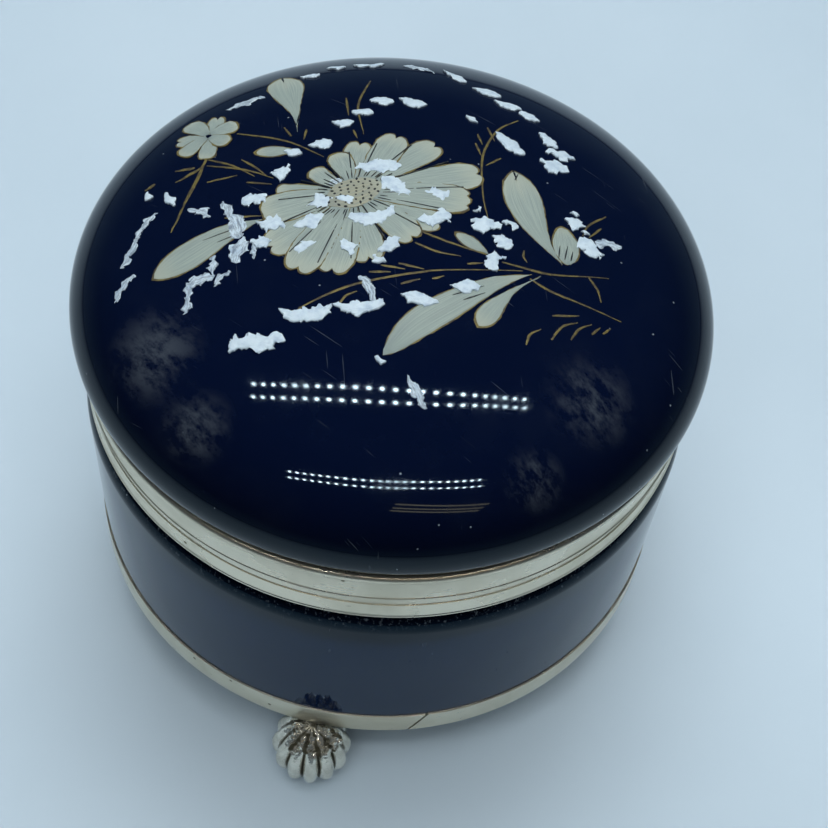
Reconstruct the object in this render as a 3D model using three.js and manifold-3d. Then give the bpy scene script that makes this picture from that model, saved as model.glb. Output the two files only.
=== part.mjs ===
// Round hinged vanity box: a blown glass bowl and a domed glass lid, each cemented into a thin
// sheet-brass mount, joined at the back by a five-knuckle hinge and standing on three cast feet.
// Millimetres, +Z up. The origin is on the table under the bowl's axis, the hinge is at +Y and
// the front at -Y.

import * as THREE from 'three';
import { mergeVertices } from 'three/addons/utils/BufferGeometryUtils.js';
import Module from 'manifold-3d';

const wasm = await Module();
wasm.setup();

// ---------------------------------------------------------------- driving dimensions

const ROUND_SIDES = 48;            // facets round every large ring
const SMALL_SIDES = 16;            // facets round pins and bores
const GAP = 0.3;                   // clearance between pieces that touch
const SHEET = 0.5;                 // thickness of the brass mounts
const ROLL = 0.25;                 // how far the rolled edges stand out

const MOUNT_R = 52.0;              // outer radius of both rims
const NECK_R = 48.8;               // outer radius of both glass necks
const GLASS_WALL = 3.0;
const COLLAR_WALL = 0.5;

const BAND_BOTTOM = 14.5;          // underside of the base band above the table
const BAND_HEIGHT = 5.7;
const BAND_R = 52.6;
const BAND_LIP_R = 46.0;           // inner edge of the lip that carries the glass

const BOWL_UNDERSIDE = 16.4;
const BOWL_FLOOR = 20.4;
const BOWL_FOOT_R = 51.8;          // the bowl widens a little from here
const BOWL_R = 52.8;               // to here, under the shoulder
const BOWL_CORNER = 3.0;
const SHOULDER_Z = 51.5;
const SHOULDER_R = BOWL_R - NECK_R;

const RIM_BOTTOM = 56.0;
const RIM_TOP = 61.2;
const RIM_STEP_Z = 59.6;           // the upper strip stands back from here up
const RIM_STEP = 0.2;

const LID_BOTTOM = 61.6;
const BEAD_R = 0.85;               // half the thickness of the wire bead
const BEAD_RING_R = 52.05;
const BEAD_Z = 68.15;
const LID_WALL_TOP = BEAD_Z - BEAD_R - GAP;
const LID_R = 53.6;                // widest radius of the lid glass
const LID_WIDE_Z = 73.0;           // height of that widest place
const LID_NECK_Z = 69.2;           // where the neck meets the under-curl
const DOME_RISE = 17.2;

const BODY_COLLAR_R = 46.6;        // outer radius of the sleeve in the bowl's neck
const LID_COLLAR_R = 45.7;         // outer radius of the sleeve that drops into it
const BODY_COLLAR_BOTTOM = 54.0;
const LID_COLLAR_BOTTOM = 59.5;
const LID_COLLAR_TOP = 66.0;

const HINGE_Y = 56.6;
const HINGE_Z = (RIM_TOP + LID_BOTTOM) / 2;
const HINGE_WIDTH = 20.0;
const KNUCKLES = 5;
const KNUCKLE_GAP = 0.3;
const KNUCKLE_R = 2.4;
const BORE_R = 1.3;
const PIN_R = 1.0;
const PIN_OVERHANG = 0.5;
const LEAF_R = MOUNT_R + 0.35;     // inner face of both leaves
const LEAF_WALL = 0.6;
const LEAF_CLEAR = 1.0;            // height from the hinge axis to the near edge of a leaf
const LEAF_HEIGHT = 3.8;
const WEB_HEIGHT = 2.4;

const FOOT_COUNT = 3;
const FOOT_RING_R = 52.9;
const FOOT_R = 7.1;
const FOOT_HALF_HEIGHT = 7.5;
const FOOT_CENTRE_Z = 6.9;
const FOOT_LOBES = 12;
const LOBE_TURN = 12;              // degrees from the outward line to the nearest lobe
const LOBE_DEPTH = 0.14;           // share of the radius lost in each groove
const COLLAR_R = 5.0;              // flat seat on top of each foot
const COLLAR_HEIGHT = 2.4;
const LEAF_TIP_Z = BAND_BOTTOM + 1.9;
const LEAF_TIP_WALL = 0.8;
const LEAF_TIP_WIDTH = 7.0;

const RIVET_RING_R = 50.0;
const RIVET_SHANK_R = 0.8;
const RIVET_SHANK_BOTTOM = 8.0;
const RIVET_HEAD_R = 1.5;
const RIVET_HEAD_HEIGHT = 0.8;

const SEAM_ANGLE = 290.1;          // degrees round from +X
const SEAM_SLANT = 30.0;           // degrees from upright
const SEAM_WIDTH = 0.35;

const degrees = THREE.MathUtils.degToRad;
const footAngles = Array.from({ length: FOOT_COUNT }, (_, i) => 270 + (i * 360) / FOOT_COUNT);

// ---------------------------------------------------------------- finishes

const finishes = {
  cobaltGlass: new THREE.MeshStandardMaterial({ color: 0x0a1238, roughness: 0.06, metalness: 0.0 }),
  giltBrass: new THREE.MeshStandardMaterial({ color: 0xb8b59c, roughness: 0.22, metalness: 1.0 }),
  castGilt: new THREE.MeshStandardMaterial({ color: 0xa9a58a, roughness: 0.3, metalness: 1.0 }),
  hingeBrass: new THREE.MeshStandardMaterial({ color: 0xa89e7c, roughness: 0.35, metalness: 1.0 }),
  plaster: new THREE.MeshStandardMaterial({ color: 0xcfc8b6, roughness: 0.9, metalness: 0.0 }),
};

// ---------------------------------------------------------------- solid helpers

// A three.js geometry as a manifold solid with its faces pointing out.
function toSolid(geometry) {
  const bare = geometry.clone();
  bare.deleteAttribute('normal');
  bare.deleteAttribute('uv');
  const merged = mergeVertices(bare, 1e-4);
  const index = merged.index.array;
  const triangles = [];
  for (let i = 0; i < index.length; i += 3) {
    const [a, b, c] = [index[i], index[i + 1], index[i + 2]];
    if (a !== b && b !== c && c !== a) triangles.push(a, b, c);
  }
  const make = (list) => new wasm.Manifold(new wasm.Mesh({
    numProp: 3,
    vertProperties: new Float32Array(merged.attributes.position.array),
    triVerts: new Uint32Array(list),
  }));
  const solid = make(triangles);
  if (solid.volume() > 0) return solid;
  return make(triangles.slice().reverse());
}

function toGeometry(solid) {
  const mesh = solid.getMesh();
  const geometry = new THREE.BufferGeometry();
  geometry.setAttribute('position', new THREE.BufferAttribute(new Float32Array(mesh.vertProperties), 3));
  geometry.setIndex(new THREE.BufferAttribute(new Uint32Array(mesh.triVerts), 1));
  geometry.computeVertexNormals();
  return geometry;
}

function joinAll(solids) {
  return solids.reduce((whole, next) => whole.add(next));
}

// Points on an ellipse arc, from one angle to another in degrees, 0 pointing away from the axis.
function arc(centreR, centreZ, radiusR, radiusZ, from, to, steps) {
  const points = [];
  for (let i = 0; i <= steps; i += 1) {
    const angle = degrees(from + ((to - from) * i) / steps);
    points.push([centreR + radiusR * Math.cos(angle), centreZ + radiusZ * Math.sin(angle)]);
  }
  return points;
}

// A profile of [radius, height] points turned about the Z axis.
function turned(profile, sides = ROUND_SIDES) {
  const points = profile.map(([r, z]) => new THREE.Vector2(Math.max(r, 0), z));
  return toSolid(new THREE.LatheGeometry(points, sides).rotateX(Math.PI / 2));
}

// A ring whose closed section is given as [radius, height] points.
function ring(section, sides = ROUND_SIDES) {
  return turned([...section, section[0]], sides);
}

function tube(innerR, outerR, bottom, top) {
  return ring([[innerR, bottom], [outerR, bottom], [outerR, top], [innerR, top]]);
}

function block(x0, x1, y0, y1, z0, z1) {
  const box = new THREE.BoxGeometry(x1 - x0, y1 - y0, z1 - z0);
  return toSolid(box.translate((x0 + x1) / 2, (y0 + y1) / 2, (z0 + z1) / 2));
}

// A cylinder along X, centred on the hinge axis.
function hingeRound(radius, x0, x1) {
  const rod = new THREE.CylinderGeometry(radius, radius, x1 - x0, SMALL_SIDES).rotateZ(Math.PI / 2);
  return toSolid(rod.translate((x0 + x1) / 2, HINGE_Y, HINGE_Z));
}

// Turns a geometry made along +X into the radial direction of an angle round the box.
function swing(geometry, angle) {
  return geometry.rotateZ(degrees(angle));
}

// ---------------------------------------------------------------- glass

function bowl() {
  const innerNeck = BODY_COLLAR_R + GAP;
  const innerFoot = BOWL_FOOT_R - GLASS_WALL;
  const innerWide = BOWL_R - GLASS_WALL;
  return turned([
    [0, BOWL_UNDERSIDE],
    ...arc(BOWL_FOOT_R - BOWL_CORNER, BOWL_UNDERSIDE + BOWL_CORNER, BOWL_CORNER, BOWL_CORNER, -90, 0, 4),
    ...arc(NECK_R, SHOULDER_Z, SHOULDER_R, SHOULDER_R, 0, 90, 5),
    [NECK_R, RIM_TOP - SHEET - GAP],
    [innerNeck, RIM_TOP - SHEET - GAP],
    ...arc(innerNeck, SHOULDER_Z, innerWide - innerNeck, SHOULDER_R - 1, 90, 0, 3),
    ...arc(innerFoot - BOWL_CORNER, BOWL_FLOOR + BOWL_CORNER, BOWL_CORNER, BOWL_CORNER, 0, -90, 3),
    [0, BOWL_FLOOR],
  ]);
}

function dome() {
  const innerNeck = LID_COLLAR_R + GAP;
  const innerWide = LID_R - GLASS_WALL;
  const innerRise = DOME_RISE - GLASS_WALL;
  return turned([
    [0, LID_WIDE_Z + DOME_RISE],
    ...arc(0, LID_WIDE_Z, LID_R, DOME_RISE, 84, 0, 9),
    ...arc(NECK_R, LID_WIDE_Z, LID_R - NECK_R, LID_WIDE_Z - LID_NECK_Z, -25, -90, 3),
    [NECK_R, LID_BOTTOM + SHEET + GAP],
    [innerNeck, LID_BOTTOM + SHEET + GAP],
    [innerNeck, LID_NECK_Z],
    ...arc(0, LID_WIDE_Z, innerWide, innerRise, 0, 80, 6),
    [0, LID_WIDE_Z + innerRise],
  ]);
}

// ---------------------------------------------------------------- mounts

function bodyRim() {
  const wall = MOUNT_R - SHEET;
  const stepped = MOUNT_R - RIM_STEP;
  const inner = BODY_COLLAR_R + GAP;
  return ring([
    [wall, RIM_BOTTOM],
    [MOUNT_R + ROLL, RIM_BOTTOM],
    [MOUNT_R + ROLL, RIM_BOTTOM + 0.4],
    [MOUNT_R, RIM_BOTTOM + 0.7],
    [MOUNT_R, RIM_STEP_Z],
    [stepped, RIM_STEP_Z + 0.15],
    [stepped, RIM_TOP - 0.3],
    [stepped - 0.3, RIM_TOP],
    [inner, RIM_TOP],
    [inner, RIM_TOP - SHEET],
    [wall, RIM_TOP - SHEET],
  ]);
}

function lidRim() {
  const wall = MOUNT_R - SHEET;
  const inner = LID_COLLAR_R + GAP;
  return ring([
    [inner, LID_BOTTOM],
    [MOUNT_R + ROLL, LID_BOTTOM],
    [MOUNT_R + ROLL, LID_BOTTOM + 0.4],
    [MOUNT_R, LID_BOTTOM + 0.7],
    [MOUNT_R, LID_WALL_TOP],
    [wall, LID_WALL_TOP],
    [wall, LID_BOTTOM + SHEET],
    [inner, LID_BOTTOM + SHEET],
  ]);
}

function lidBead() {
  return ring(arc(BEAD_RING_R, BEAD_Z, BEAD_R, BEAD_R, 0, 315, 7));
}

function bodyCollar() {
  return tube(BODY_COLLAR_R - COLLAR_WALL, BODY_COLLAR_R, BODY_COLLAR_BOTTOM, RIM_TOP);
}

function lidCollar() {
  return tube(LID_COLLAR_R - COLLAR_WALL, LID_COLLAR_R, LID_COLLAR_BOTTOM, LID_COLLAR_TOP);
}

// The plaster bed that fills a mount between its wall and the glass neck.
function neckBed(bottom, top) {
  return tube(NECK_R + GAP, MOUNT_R - SHEET - GAP, bottom, top);
}

// The thin bed under the bowl, left open round each rivet head.
function baseBed() {
  const bottom = BAND_BOTTOM + SHEET + GAP;
  const outer = BAND_R - SHEET - GAP - 0.6;
  const bed = tube(BAND_LIP_R + GAP, outer, bottom, BOWL_UNDERSIDE - GAP);
  const gaps = footAngles.map((angle) => rivetRod(RIVET_HEAD_R + GAP, angle));
  return bed.subtract(joinAll(gaps));
}

// ---------------------------------------------------------------- base band and feet

// An upright rod on a rivet's centre line, longer than anything that it cuts.
function rivetRod(radius, angle) {
  const top = BOWL_UNDERSIDE + 1;
  const bottom = RIVET_SHANK_BOTTOM - GAP;
  const rod = new THREE.CylinderGeometry(radius, radius, top - bottom, SMALL_SIDES).rotateX(Math.PI / 2);
  return toSolid(swing(rod.translate(RIVET_RING_R, 0, (top + bottom) / 2), angle));
}

function baseBand() {
  const bandTop = BAND_BOTTOM + BAND_HEIGHT;
  const inner = BAND_R - SHEET;
  const whole = ring([
    [BAND_LIP_R, BAND_BOTTOM],
    [BAND_R - 0.3, BAND_BOTTOM],
    [BAND_R, BAND_BOTTOM + 0.3],
    [BAND_R, bandTop - 0.2],
    [BAND_R - 0.2, bandTop],
    [inner, bandTop],
    [inner, BAND_BOTTOM + SHEET],
    [BAND_LIP_R, BAND_BOTTOM + SHEET],
  ]);
  const saw = new THREE.BoxGeometry(18, SEAM_WIDTH, 16).rotateX(degrees(-SEAM_SLANT));
  const cut = toSolid(swing(saw.translate(BAND_R - 3, 0, BAND_BOTTOM + BAND_HEIGHT / 2), SEAM_ANGLE));
  const holes = footAngles.map((angle) => rivetRod(RIVET_SHANK_R + GAP, angle));
  return whole.subtract(cut).subtract(joinAll(holes));
}

// A cast bun with upright lobes, flattened where it stands on the table.
function footBun() {
  const bun = new THREE.SphereGeometry(1, FOOT_LOBES * 4, 10).rotateX(Math.PI / 2);
  const at = bun.attributes.position;
  for (let i = 0; i < at.count; i += 1) {
    const angle = Math.atan2(at.getY(i), at.getX(i)) - degrees(LOBE_TURN);
    const lobe = Math.abs(Math.cos((angle * FOOT_LOBES) / 2));
    const reach = FOOT_R * (1 - LOBE_DEPTH * (1 - lobe));
    at.setXYZ(i, at.getX(i) * reach, at.getY(i) * reach, FOOT_CENTRE_Z + at.getZ(i) * FOOT_HALF_HEIGHT);
  }
  const seat = BAND_BOTTOM - GAP;
  const stand = block(-10, 10, -10, 10, 0, seat);
  const collar = new THREE.CylinderGeometry(COLLAR_R, COLLAR_R, COLLAR_HEIGHT, ROUND_SIDES / 2);
  collar.rotateX(Math.PI / 2).translate(0, 0, seat - COLLAR_HEIGHT / 2);
  return toSolid(bun).intersect(stand).add(toSolid(collar)).translate([FOOT_RING_R, 0, 0]);
}

// The small leaf on the foot's collar that laps up the outside of the band.
function footLeaf() {
  const outline = new THREE.Shape();
  const half = LEAF_TIP_WIDTH / 2;
  const low = BAND_BOTTOM - GAP - COLLAR_HEIGHT / 2;
  outline.moveTo(-half, low);
  outline.lineTo(half, low);
  outline.lineTo(half, BAND_BOTTOM);
  outline.quadraticCurveTo(half * 0.3, BAND_BOTTOM, 0, LEAF_TIP_Z);
  outline.quadraticCurveTo(-half * 0.3, BAND_BOTTOM, -half, BAND_BOTTOM);
  const plate = new THREE.ExtrudeGeometry(outline, { depth: 12, bevelEnabled: false, curveSegments: 4 });
  plate.rotateX(Math.PI / 2).rotateZ(Math.PI / 2).translate(BAND_R - 4, 0, 0);
  const inner = BAND_R + GAP;
  return toSolid(plate).intersect(tube(inner, inner + LEAF_TIP_WALL, low - 1, LEAF_TIP_Z + 1));
}

function foot(angle) {
  const casting = footBun().add(footLeaf()).rotate([0, 0, angle]);
  return casting.subtract(rivetRod(RIVET_SHANK_R + GAP, angle));
}

function footRivet(angle) {
  const headFace = BAND_BOTTOM + SHEET + GAP;
  const profile = [
    [0, RIVET_SHANK_BOTTOM],
    [RIVET_SHANK_R, RIVET_SHANK_BOTTOM],
    [RIVET_SHANK_R, headFace],
    ...arc(0, headFace, RIVET_HEAD_R, RIVET_HEAD_HEIGHT, 0, 90, 3),
  ];
  const points = profile.map(([r, z]) => new THREE.Vector2(Math.max(r, 0), z));
  const rivet = new THREE.LatheGeometry(points, SMALL_SIDES).rotateX(Math.PI / 2);
  return toSolid(swing(rivet.translate(RIVET_RING_R, 0, 0), angle));
}

// ---------------------------------------------------------------- hinge

const knuckleLength = (HINGE_WIDTH - (KNUCKLES - 1) * KNUCKLE_GAP) / KNUCKLES;
const knuckleStart = (i) => -HINGE_WIDTH / 2 + i * (knuckleLength + KNUCKLE_GAP);

// One leaf: side is -1 below the axis, on the bowl, or 1 above it, on the lid.
function hingeLeaf(side, knuckleNumbers) {
  const near = HINGE_Z + side * LEAF_CLEAR;
  const far = near + side * LEAF_HEIGHT;
  const [bottom, top] = [Math.min(near, far), Math.max(near, far)];
  const strip = block(-HINGE_WIDTH / 2, HINGE_WIDTH / 2, 45, 60, bottom, top);
  const plate = tube(LEAF_R, LEAF_R + LEAF_WALL, bottom, top).intersect(strip);
  const pieces = [plate];
  for (const i of knuckleNumbers) {
    const x0 = knuckleStart(i);
    const x1 = x0 + knuckleLength;
    const webEnd = HINGE_Z + side * WEB_HEIGHT;
    const web = block(x0, x1, 51, HINGE_Y, Math.min(HINGE_Z, webEnd), Math.max(HINGE_Z, webEnd));
    pieces.push(web.subtract(turned([[0, 50], [LEAF_R, 50], [LEAF_R, 72], [0, 72]])));
    pieces.push(hingeRound(KNUCKLE_R, x0, x1));
  }
  return joinAll(pieces).subtract(hingeRound(BORE_R, -HINGE_WIDTH, HINGE_WIDTH));
}

function hingePin() {
  const end = HINGE_WIDTH / 2 + PIN_OVERHANG;
  return hingeRound(PIN_R, -end, end);
}

// ---------------------------------------------------------------- assembly

const box = new THREE.Group();

function place(name, solid, finish) {
  const mesh = new THREE.Mesh(toGeometry(solid), finishes[finish].clone());
  mesh.name = name;
  box.add(mesh);
}

place('body_glass', bowl(), 'cobaltGlass');
place('body_rim', bodyRim(), 'giltBrass');
place('body_collar', bodyCollar(), 'giltBrass');
place('body_cement', neckBed(RIM_BOTTOM + 0.1, RIM_TOP - SHEET - GAP), 'plaster');
place('base_band', baseBand(), 'giltBrass');
place('base_cement', baseBed(), 'plaster');
footAngles.forEach((angle, i) => {
  place(`foot_${i + 1}`, foot(angle), 'castGilt');
  place(`foot_rivet_${i + 1}`, footRivet(angle), 'castGilt');
});
place('hinge_leaf_body', hingeLeaf(-1, [0, 2, 4]), 'hingeBrass');
place('hinge_leaf_lid', hingeLeaf(1, [1, 3]), 'hingeBrass');
place('hinge_pin', hingePin(), 'hingeBrass');
place('lid_glass', dome(), 'cobaltGlass');
place('lid_rim', lidRim(), 'giltBrass');
place('lid_bead', lidBead(), 'giltBrass');
place('lid_collar', lidCollar(), 'giltBrass');
place('lid_cement', neckBed(LID_BOTTOM + SHEET + GAP, LID_WALL_TOP - GAP), 'plaster');

export default box;
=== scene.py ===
"""The looks of a round hinged vanity box in dark cobalt glass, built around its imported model.

The box has a blown glass bowl and a domed glass lid in thin pale brass mounts, a seamed base band on
three ribbed ball feet, and a spray of painted flowers with raised white enamel on the lid.
Lengths in the classes below are in millimetres unless they say otherwise; meshes are in metres.
"""

import logging
import math
import random
from dataclasses import dataclass, field
from enum import Enum
from functools import cached_property
from typing import Callable, Sequence

import bpy
from mathutils import Matrix, Vector, noise


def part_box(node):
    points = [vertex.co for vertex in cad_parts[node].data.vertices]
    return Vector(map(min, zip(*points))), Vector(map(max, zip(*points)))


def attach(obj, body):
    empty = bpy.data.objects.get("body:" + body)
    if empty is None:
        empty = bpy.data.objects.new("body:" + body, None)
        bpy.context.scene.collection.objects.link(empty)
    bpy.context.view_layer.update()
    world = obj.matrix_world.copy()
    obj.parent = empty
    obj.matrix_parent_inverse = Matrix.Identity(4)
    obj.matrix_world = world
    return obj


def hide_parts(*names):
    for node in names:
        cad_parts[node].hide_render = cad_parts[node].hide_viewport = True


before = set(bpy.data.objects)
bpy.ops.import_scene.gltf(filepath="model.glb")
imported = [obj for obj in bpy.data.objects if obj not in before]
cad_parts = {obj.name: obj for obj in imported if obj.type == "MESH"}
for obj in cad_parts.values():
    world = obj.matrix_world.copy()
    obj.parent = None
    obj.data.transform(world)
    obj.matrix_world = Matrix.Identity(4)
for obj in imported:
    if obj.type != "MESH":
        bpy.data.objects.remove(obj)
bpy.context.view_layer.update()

LOG = logging.getLogger("vanity_box")
MM = 0.001
AROUND = 240  # steps in a full turn of a large ring
Point = tuple[float, float]
Colour = tuple[float, float, float, float]


# ------------------------------------------------------------------ the bench: shaping by operator


def clear_selection() -> None:
    """Leave every object deselected and in object mode."""
    if bpy.context.object is not None and bpy.context.object.mode != "OBJECT":
        bpy.ops.object.mode_set(mode="OBJECT")
    bpy.ops.object.select_all(action="DESELECT")


def take_up(piece: bpy.types.Object) -> None:
    """Make one object the only selected and active one.

    Args:
        piece: The object to work on next.
    """
    clear_selection()
    piece.select_set(True)
    bpy.context.view_layer.objects.active = piece


def christen(name: str) -> bpy.types.Object:
    """Name the object that an operator has just added, and put its place into its mesh.

    Args:
        name: The piece's name.

    Returns:
        The named object, at the origin, unturned and unscaled.
    """
    piece = bpy.context.object
    piece.name = name
    piece.data.name = name
    bpy.ops.object.transform_apply(location=True, rotation=True, scale=True)
    return piece


def close_up(piece: bpy.types.Object) -> None:
    """Merge the doubles of a mesh and point its faces outwards.

    Args:
        piece: The object whose mesh is mended.
    """
    take_up(piece)
    bpy.ops.object.mode_set(mode="EDIT")
    bpy.ops.mesh.select_all(action="SELECT")
    bpy.ops.mesh.remove_doubles(threshold=1e-6)
    bpy.ops.mesh.normals_make_consistent(inside=False)
    bpy.ops.object.mode_set(mode="OBJECT")


def smooth(piece: bpy.types.Object, degrees: float = 32.0) -> None:
    """Shade smooth, with edges sharper than an angle left crisp.

    Args:
        piece: The object to shade.
        degrees: The angle above which an edge stays crisp.
    """
    take_up(piece)
    bpy.ops.object.shade_smooth_by_angle(angle=math.radians(degrees))


def modify(piece: bpy.types.Object, kind: str, **settings: object) -> None:
    """Add one modifier and apply it.

    Args:
        piece: The object to change.
        kind: The modifier's type, such as "BEVEL".
        **settings: The modifier's properties.
    """
    take_up(piece)
    tool = piece.modifiers.new(kind.lower(), kind)
    for key, value in settings.items():
        setattr(tool, key, value)
    bpy.ops.object.modifier_apply(modifier=tool.name)


def join(pieces: Sequence[bpy.types.Object], name: str) -> bpy.types.Object:
    """Join several meshes into one object.

    Args:
        pieces: The objects to join.
        name: The name of the whole.

    Returns:
        The joined object.
    """
    take_up(pieces[0])
    for piece in pieces[1:]:
        piece.select_set(True)
    if len(pieces) > 1:
        bpy.ops.object.join()
    whole = bpy.context.object
    whole.name = name
    whole.data.name = name
    return whole


def displace(piece: bpy.types.Object, rule: Callable[[Vector], Vector]) -> None:
    """Move every vertex of a mesh by a rule.

    Args:
        piece: The object whose mesh is moved.
        rule: Takes a vertex's place and returns its new place, both in metres.
    """
    for vertex in piece.data.vertices:
        vertex.co = rule(vertex.co.copy())
    piece.data.update()


def arc(middle: Point, radii: Point, start: float, end: float, steps: int) -> list[Point]:
    """Points along part of an ellipse.

    Args:
        middle: The ellipse's centre, as radius and height.
        radii: Its two half-axes.
        start: First angle in degrees, 0 pointing away from the axis.
        end: Last angle in degrees.
        steps: Number of stretches between the points.

    Returns:
        steps + 1 points.
    """
    angles = [math.radians(start + (end - start) * i / steps) for i in range(steps + 1)]
    return [(middle[0] + radii[0] * math.cos(a), middle[1] + radii[1] * math.sin(a)) for a in angles]


class Spindle(Enum):
    """The axis that a section is turned about."""

    UPRIGHT = (0.0, 0.0, 1.0)
    HINGE = (1.0, 0.0, 0.0)


def turned(
    name: str,
    section: Sequence[Point],
    spindle: Spindle = Spindle.UPRIGHT,
    middle: Vector = Vector((0, 0, 0)),
    steps: int = AROUND,
) -> bpy.types.Object:
    """Draw a section point by point and turn it into a solid.

    Args:
        name: The piece's name.
        section: Points as distance from the spindle and place along it. It closes on itself, or
            starts and ends on the spindle.
        spindle: The axis to turn about.
        middle: A point on that axis, in metres.
        steps: Steps in the full turn.

    Returns:
        The turned object.
    """
    upright = spindle is Spindle.UPRIGHT
    places = [
        middle + (Vector((r, 0, z)) if upright else Vector((z, r, 0))) * MM for r, z in section
    ]
    clear_selection()
    bpy.ops.mesh.primitive_plane_add(size=MM, location=places[0])
    piece = christen(name)
    bpy.ops.object.mode_set(mode="EDIT")
    bpy.ops.mesh.select_all(action="SELECT")
    bpy.ops.mesh.merge(type="CENTER")
    for here, there in zip(places, places[1:]):
        bpy.ops.mesh.extrude_region_move(TRANSFORM_OT_translate={"value": there - here})
    bpy.ops.mesh.select_all(action="SELECT")
    bpy.ops.mesh.remove_doubles(threshold=1e-7)
    bpy.ops.mesh.select_all(action="SELECT")
    bpy.ops.mesh.spin(steps=steps, angle=math.tau, center=middle, axis=spindle.value)
    bpy.ops.object.mode_set(mode="OBJECT")
    close_up(piece)
    return piece


def ring(name: str, section: Sequence[Point], **turning: object) -> bpy.types.Object:
    """A ring whose section closes on itself.

    Args:
        name: The piece's name.
        section: The section's points, without repeating the first.
        **turning: What turned takes.

    Returns:
        The ring.
    """
    return turned(name, [*section, section[0]], **turning)


def wavy(amount: float, size: float, seed: float) -> Callable[[Vector], Vector]:
    """A rule that presses slow, shallow waves into a wall.

    Args:
        amount: Greatest sideways move, in millimetres.
        size: Width of one wave, in millimetres.
        seed: Shifts the pattern.

    Returns:
        A rule for displace.
    """

    def rule(place: Vector) -> Vector:
        out = Vector((place.x, place.y, 0.0))
        if out.length < MM:
            return place
        swell = noise.noise(place / (size * MM) + Vector((seed, 0, 0)))
        return place + out.normalized() * swell * amount * MM

    return rule


def report(piece: bpy.types.Object, body: str, slot: str, *stands_for: str) -> bpy.types.Object:
    """Hang a finished piece on its body, hide the CAD nodes that it stands for, and log it.

    Args:
        piece: The finished object.
        body: The CAD body it moves with.
        slot: Not used.
        *stands_for: CAD nodes that it stands for.

    Returns:
        The same object.
    """
    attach(piece, body)
    if stands_for:
        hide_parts(*stands_for)
    LOG.info("%s on %s: %d faces", piece.name, body, len(piece.data.polygons))
    return piece


# ------------------------------------------------------------------ the paint shelf: shader tools


class Wire:
    """An output socket that takes part in sums and products."""

    def __init__(self, board: "Board", socket: bpy.types.NodeSocket) -> None:
        """Keep the socket and the board that it is on."""
        self.board = board
        self.socket = socket

    def _maths(self, operation: str, first: object, second: object) -> "Wire":
        """Add one Math node."""
        return self.board.add("ShaderNodeMath", {"operation": operation}, {0: first, 1: second})

    def __add__(self, other: object) -> "Wire":
        """Sum."""
        return self._maths("ADD", self, other)

    __radd__ = __add__

    def __sub__(self, other: object) -> "Wire":
        """Difference."""
        return self._maths("SUBTRACT", self, other)

    def __rsub__(self, other: object) -> "Wire":
        """Difference with a number on the left."""
        return self._maths("SUBTRACT", other, self)

    def __mul__(self, other: object) -> "Wire":
        """Product."""
        return self._maths("MULTIPLY", self, other)

    __rmul__ = __mul__

    def __truediv__(self, other: object) -> "Wire":
        """Quotient."""
        return self._maths("DIVIDE", self, other)

    def __gt__(self, other: object) -> "Wire":
        """1 where this is greater, else 0."""
        return self._maths("GREATER_THAN", self, other)

    def most(self, other: object) -> "Wire":
        """The greater of the two."""
        return self._maths("MAXIMUM", self, other)

    def clamped(self) -> "Wire":
        """The value held between 0 and 1."""
        return self.board.add("ShaderNodeClamp", {}, {"Value": self})


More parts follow.
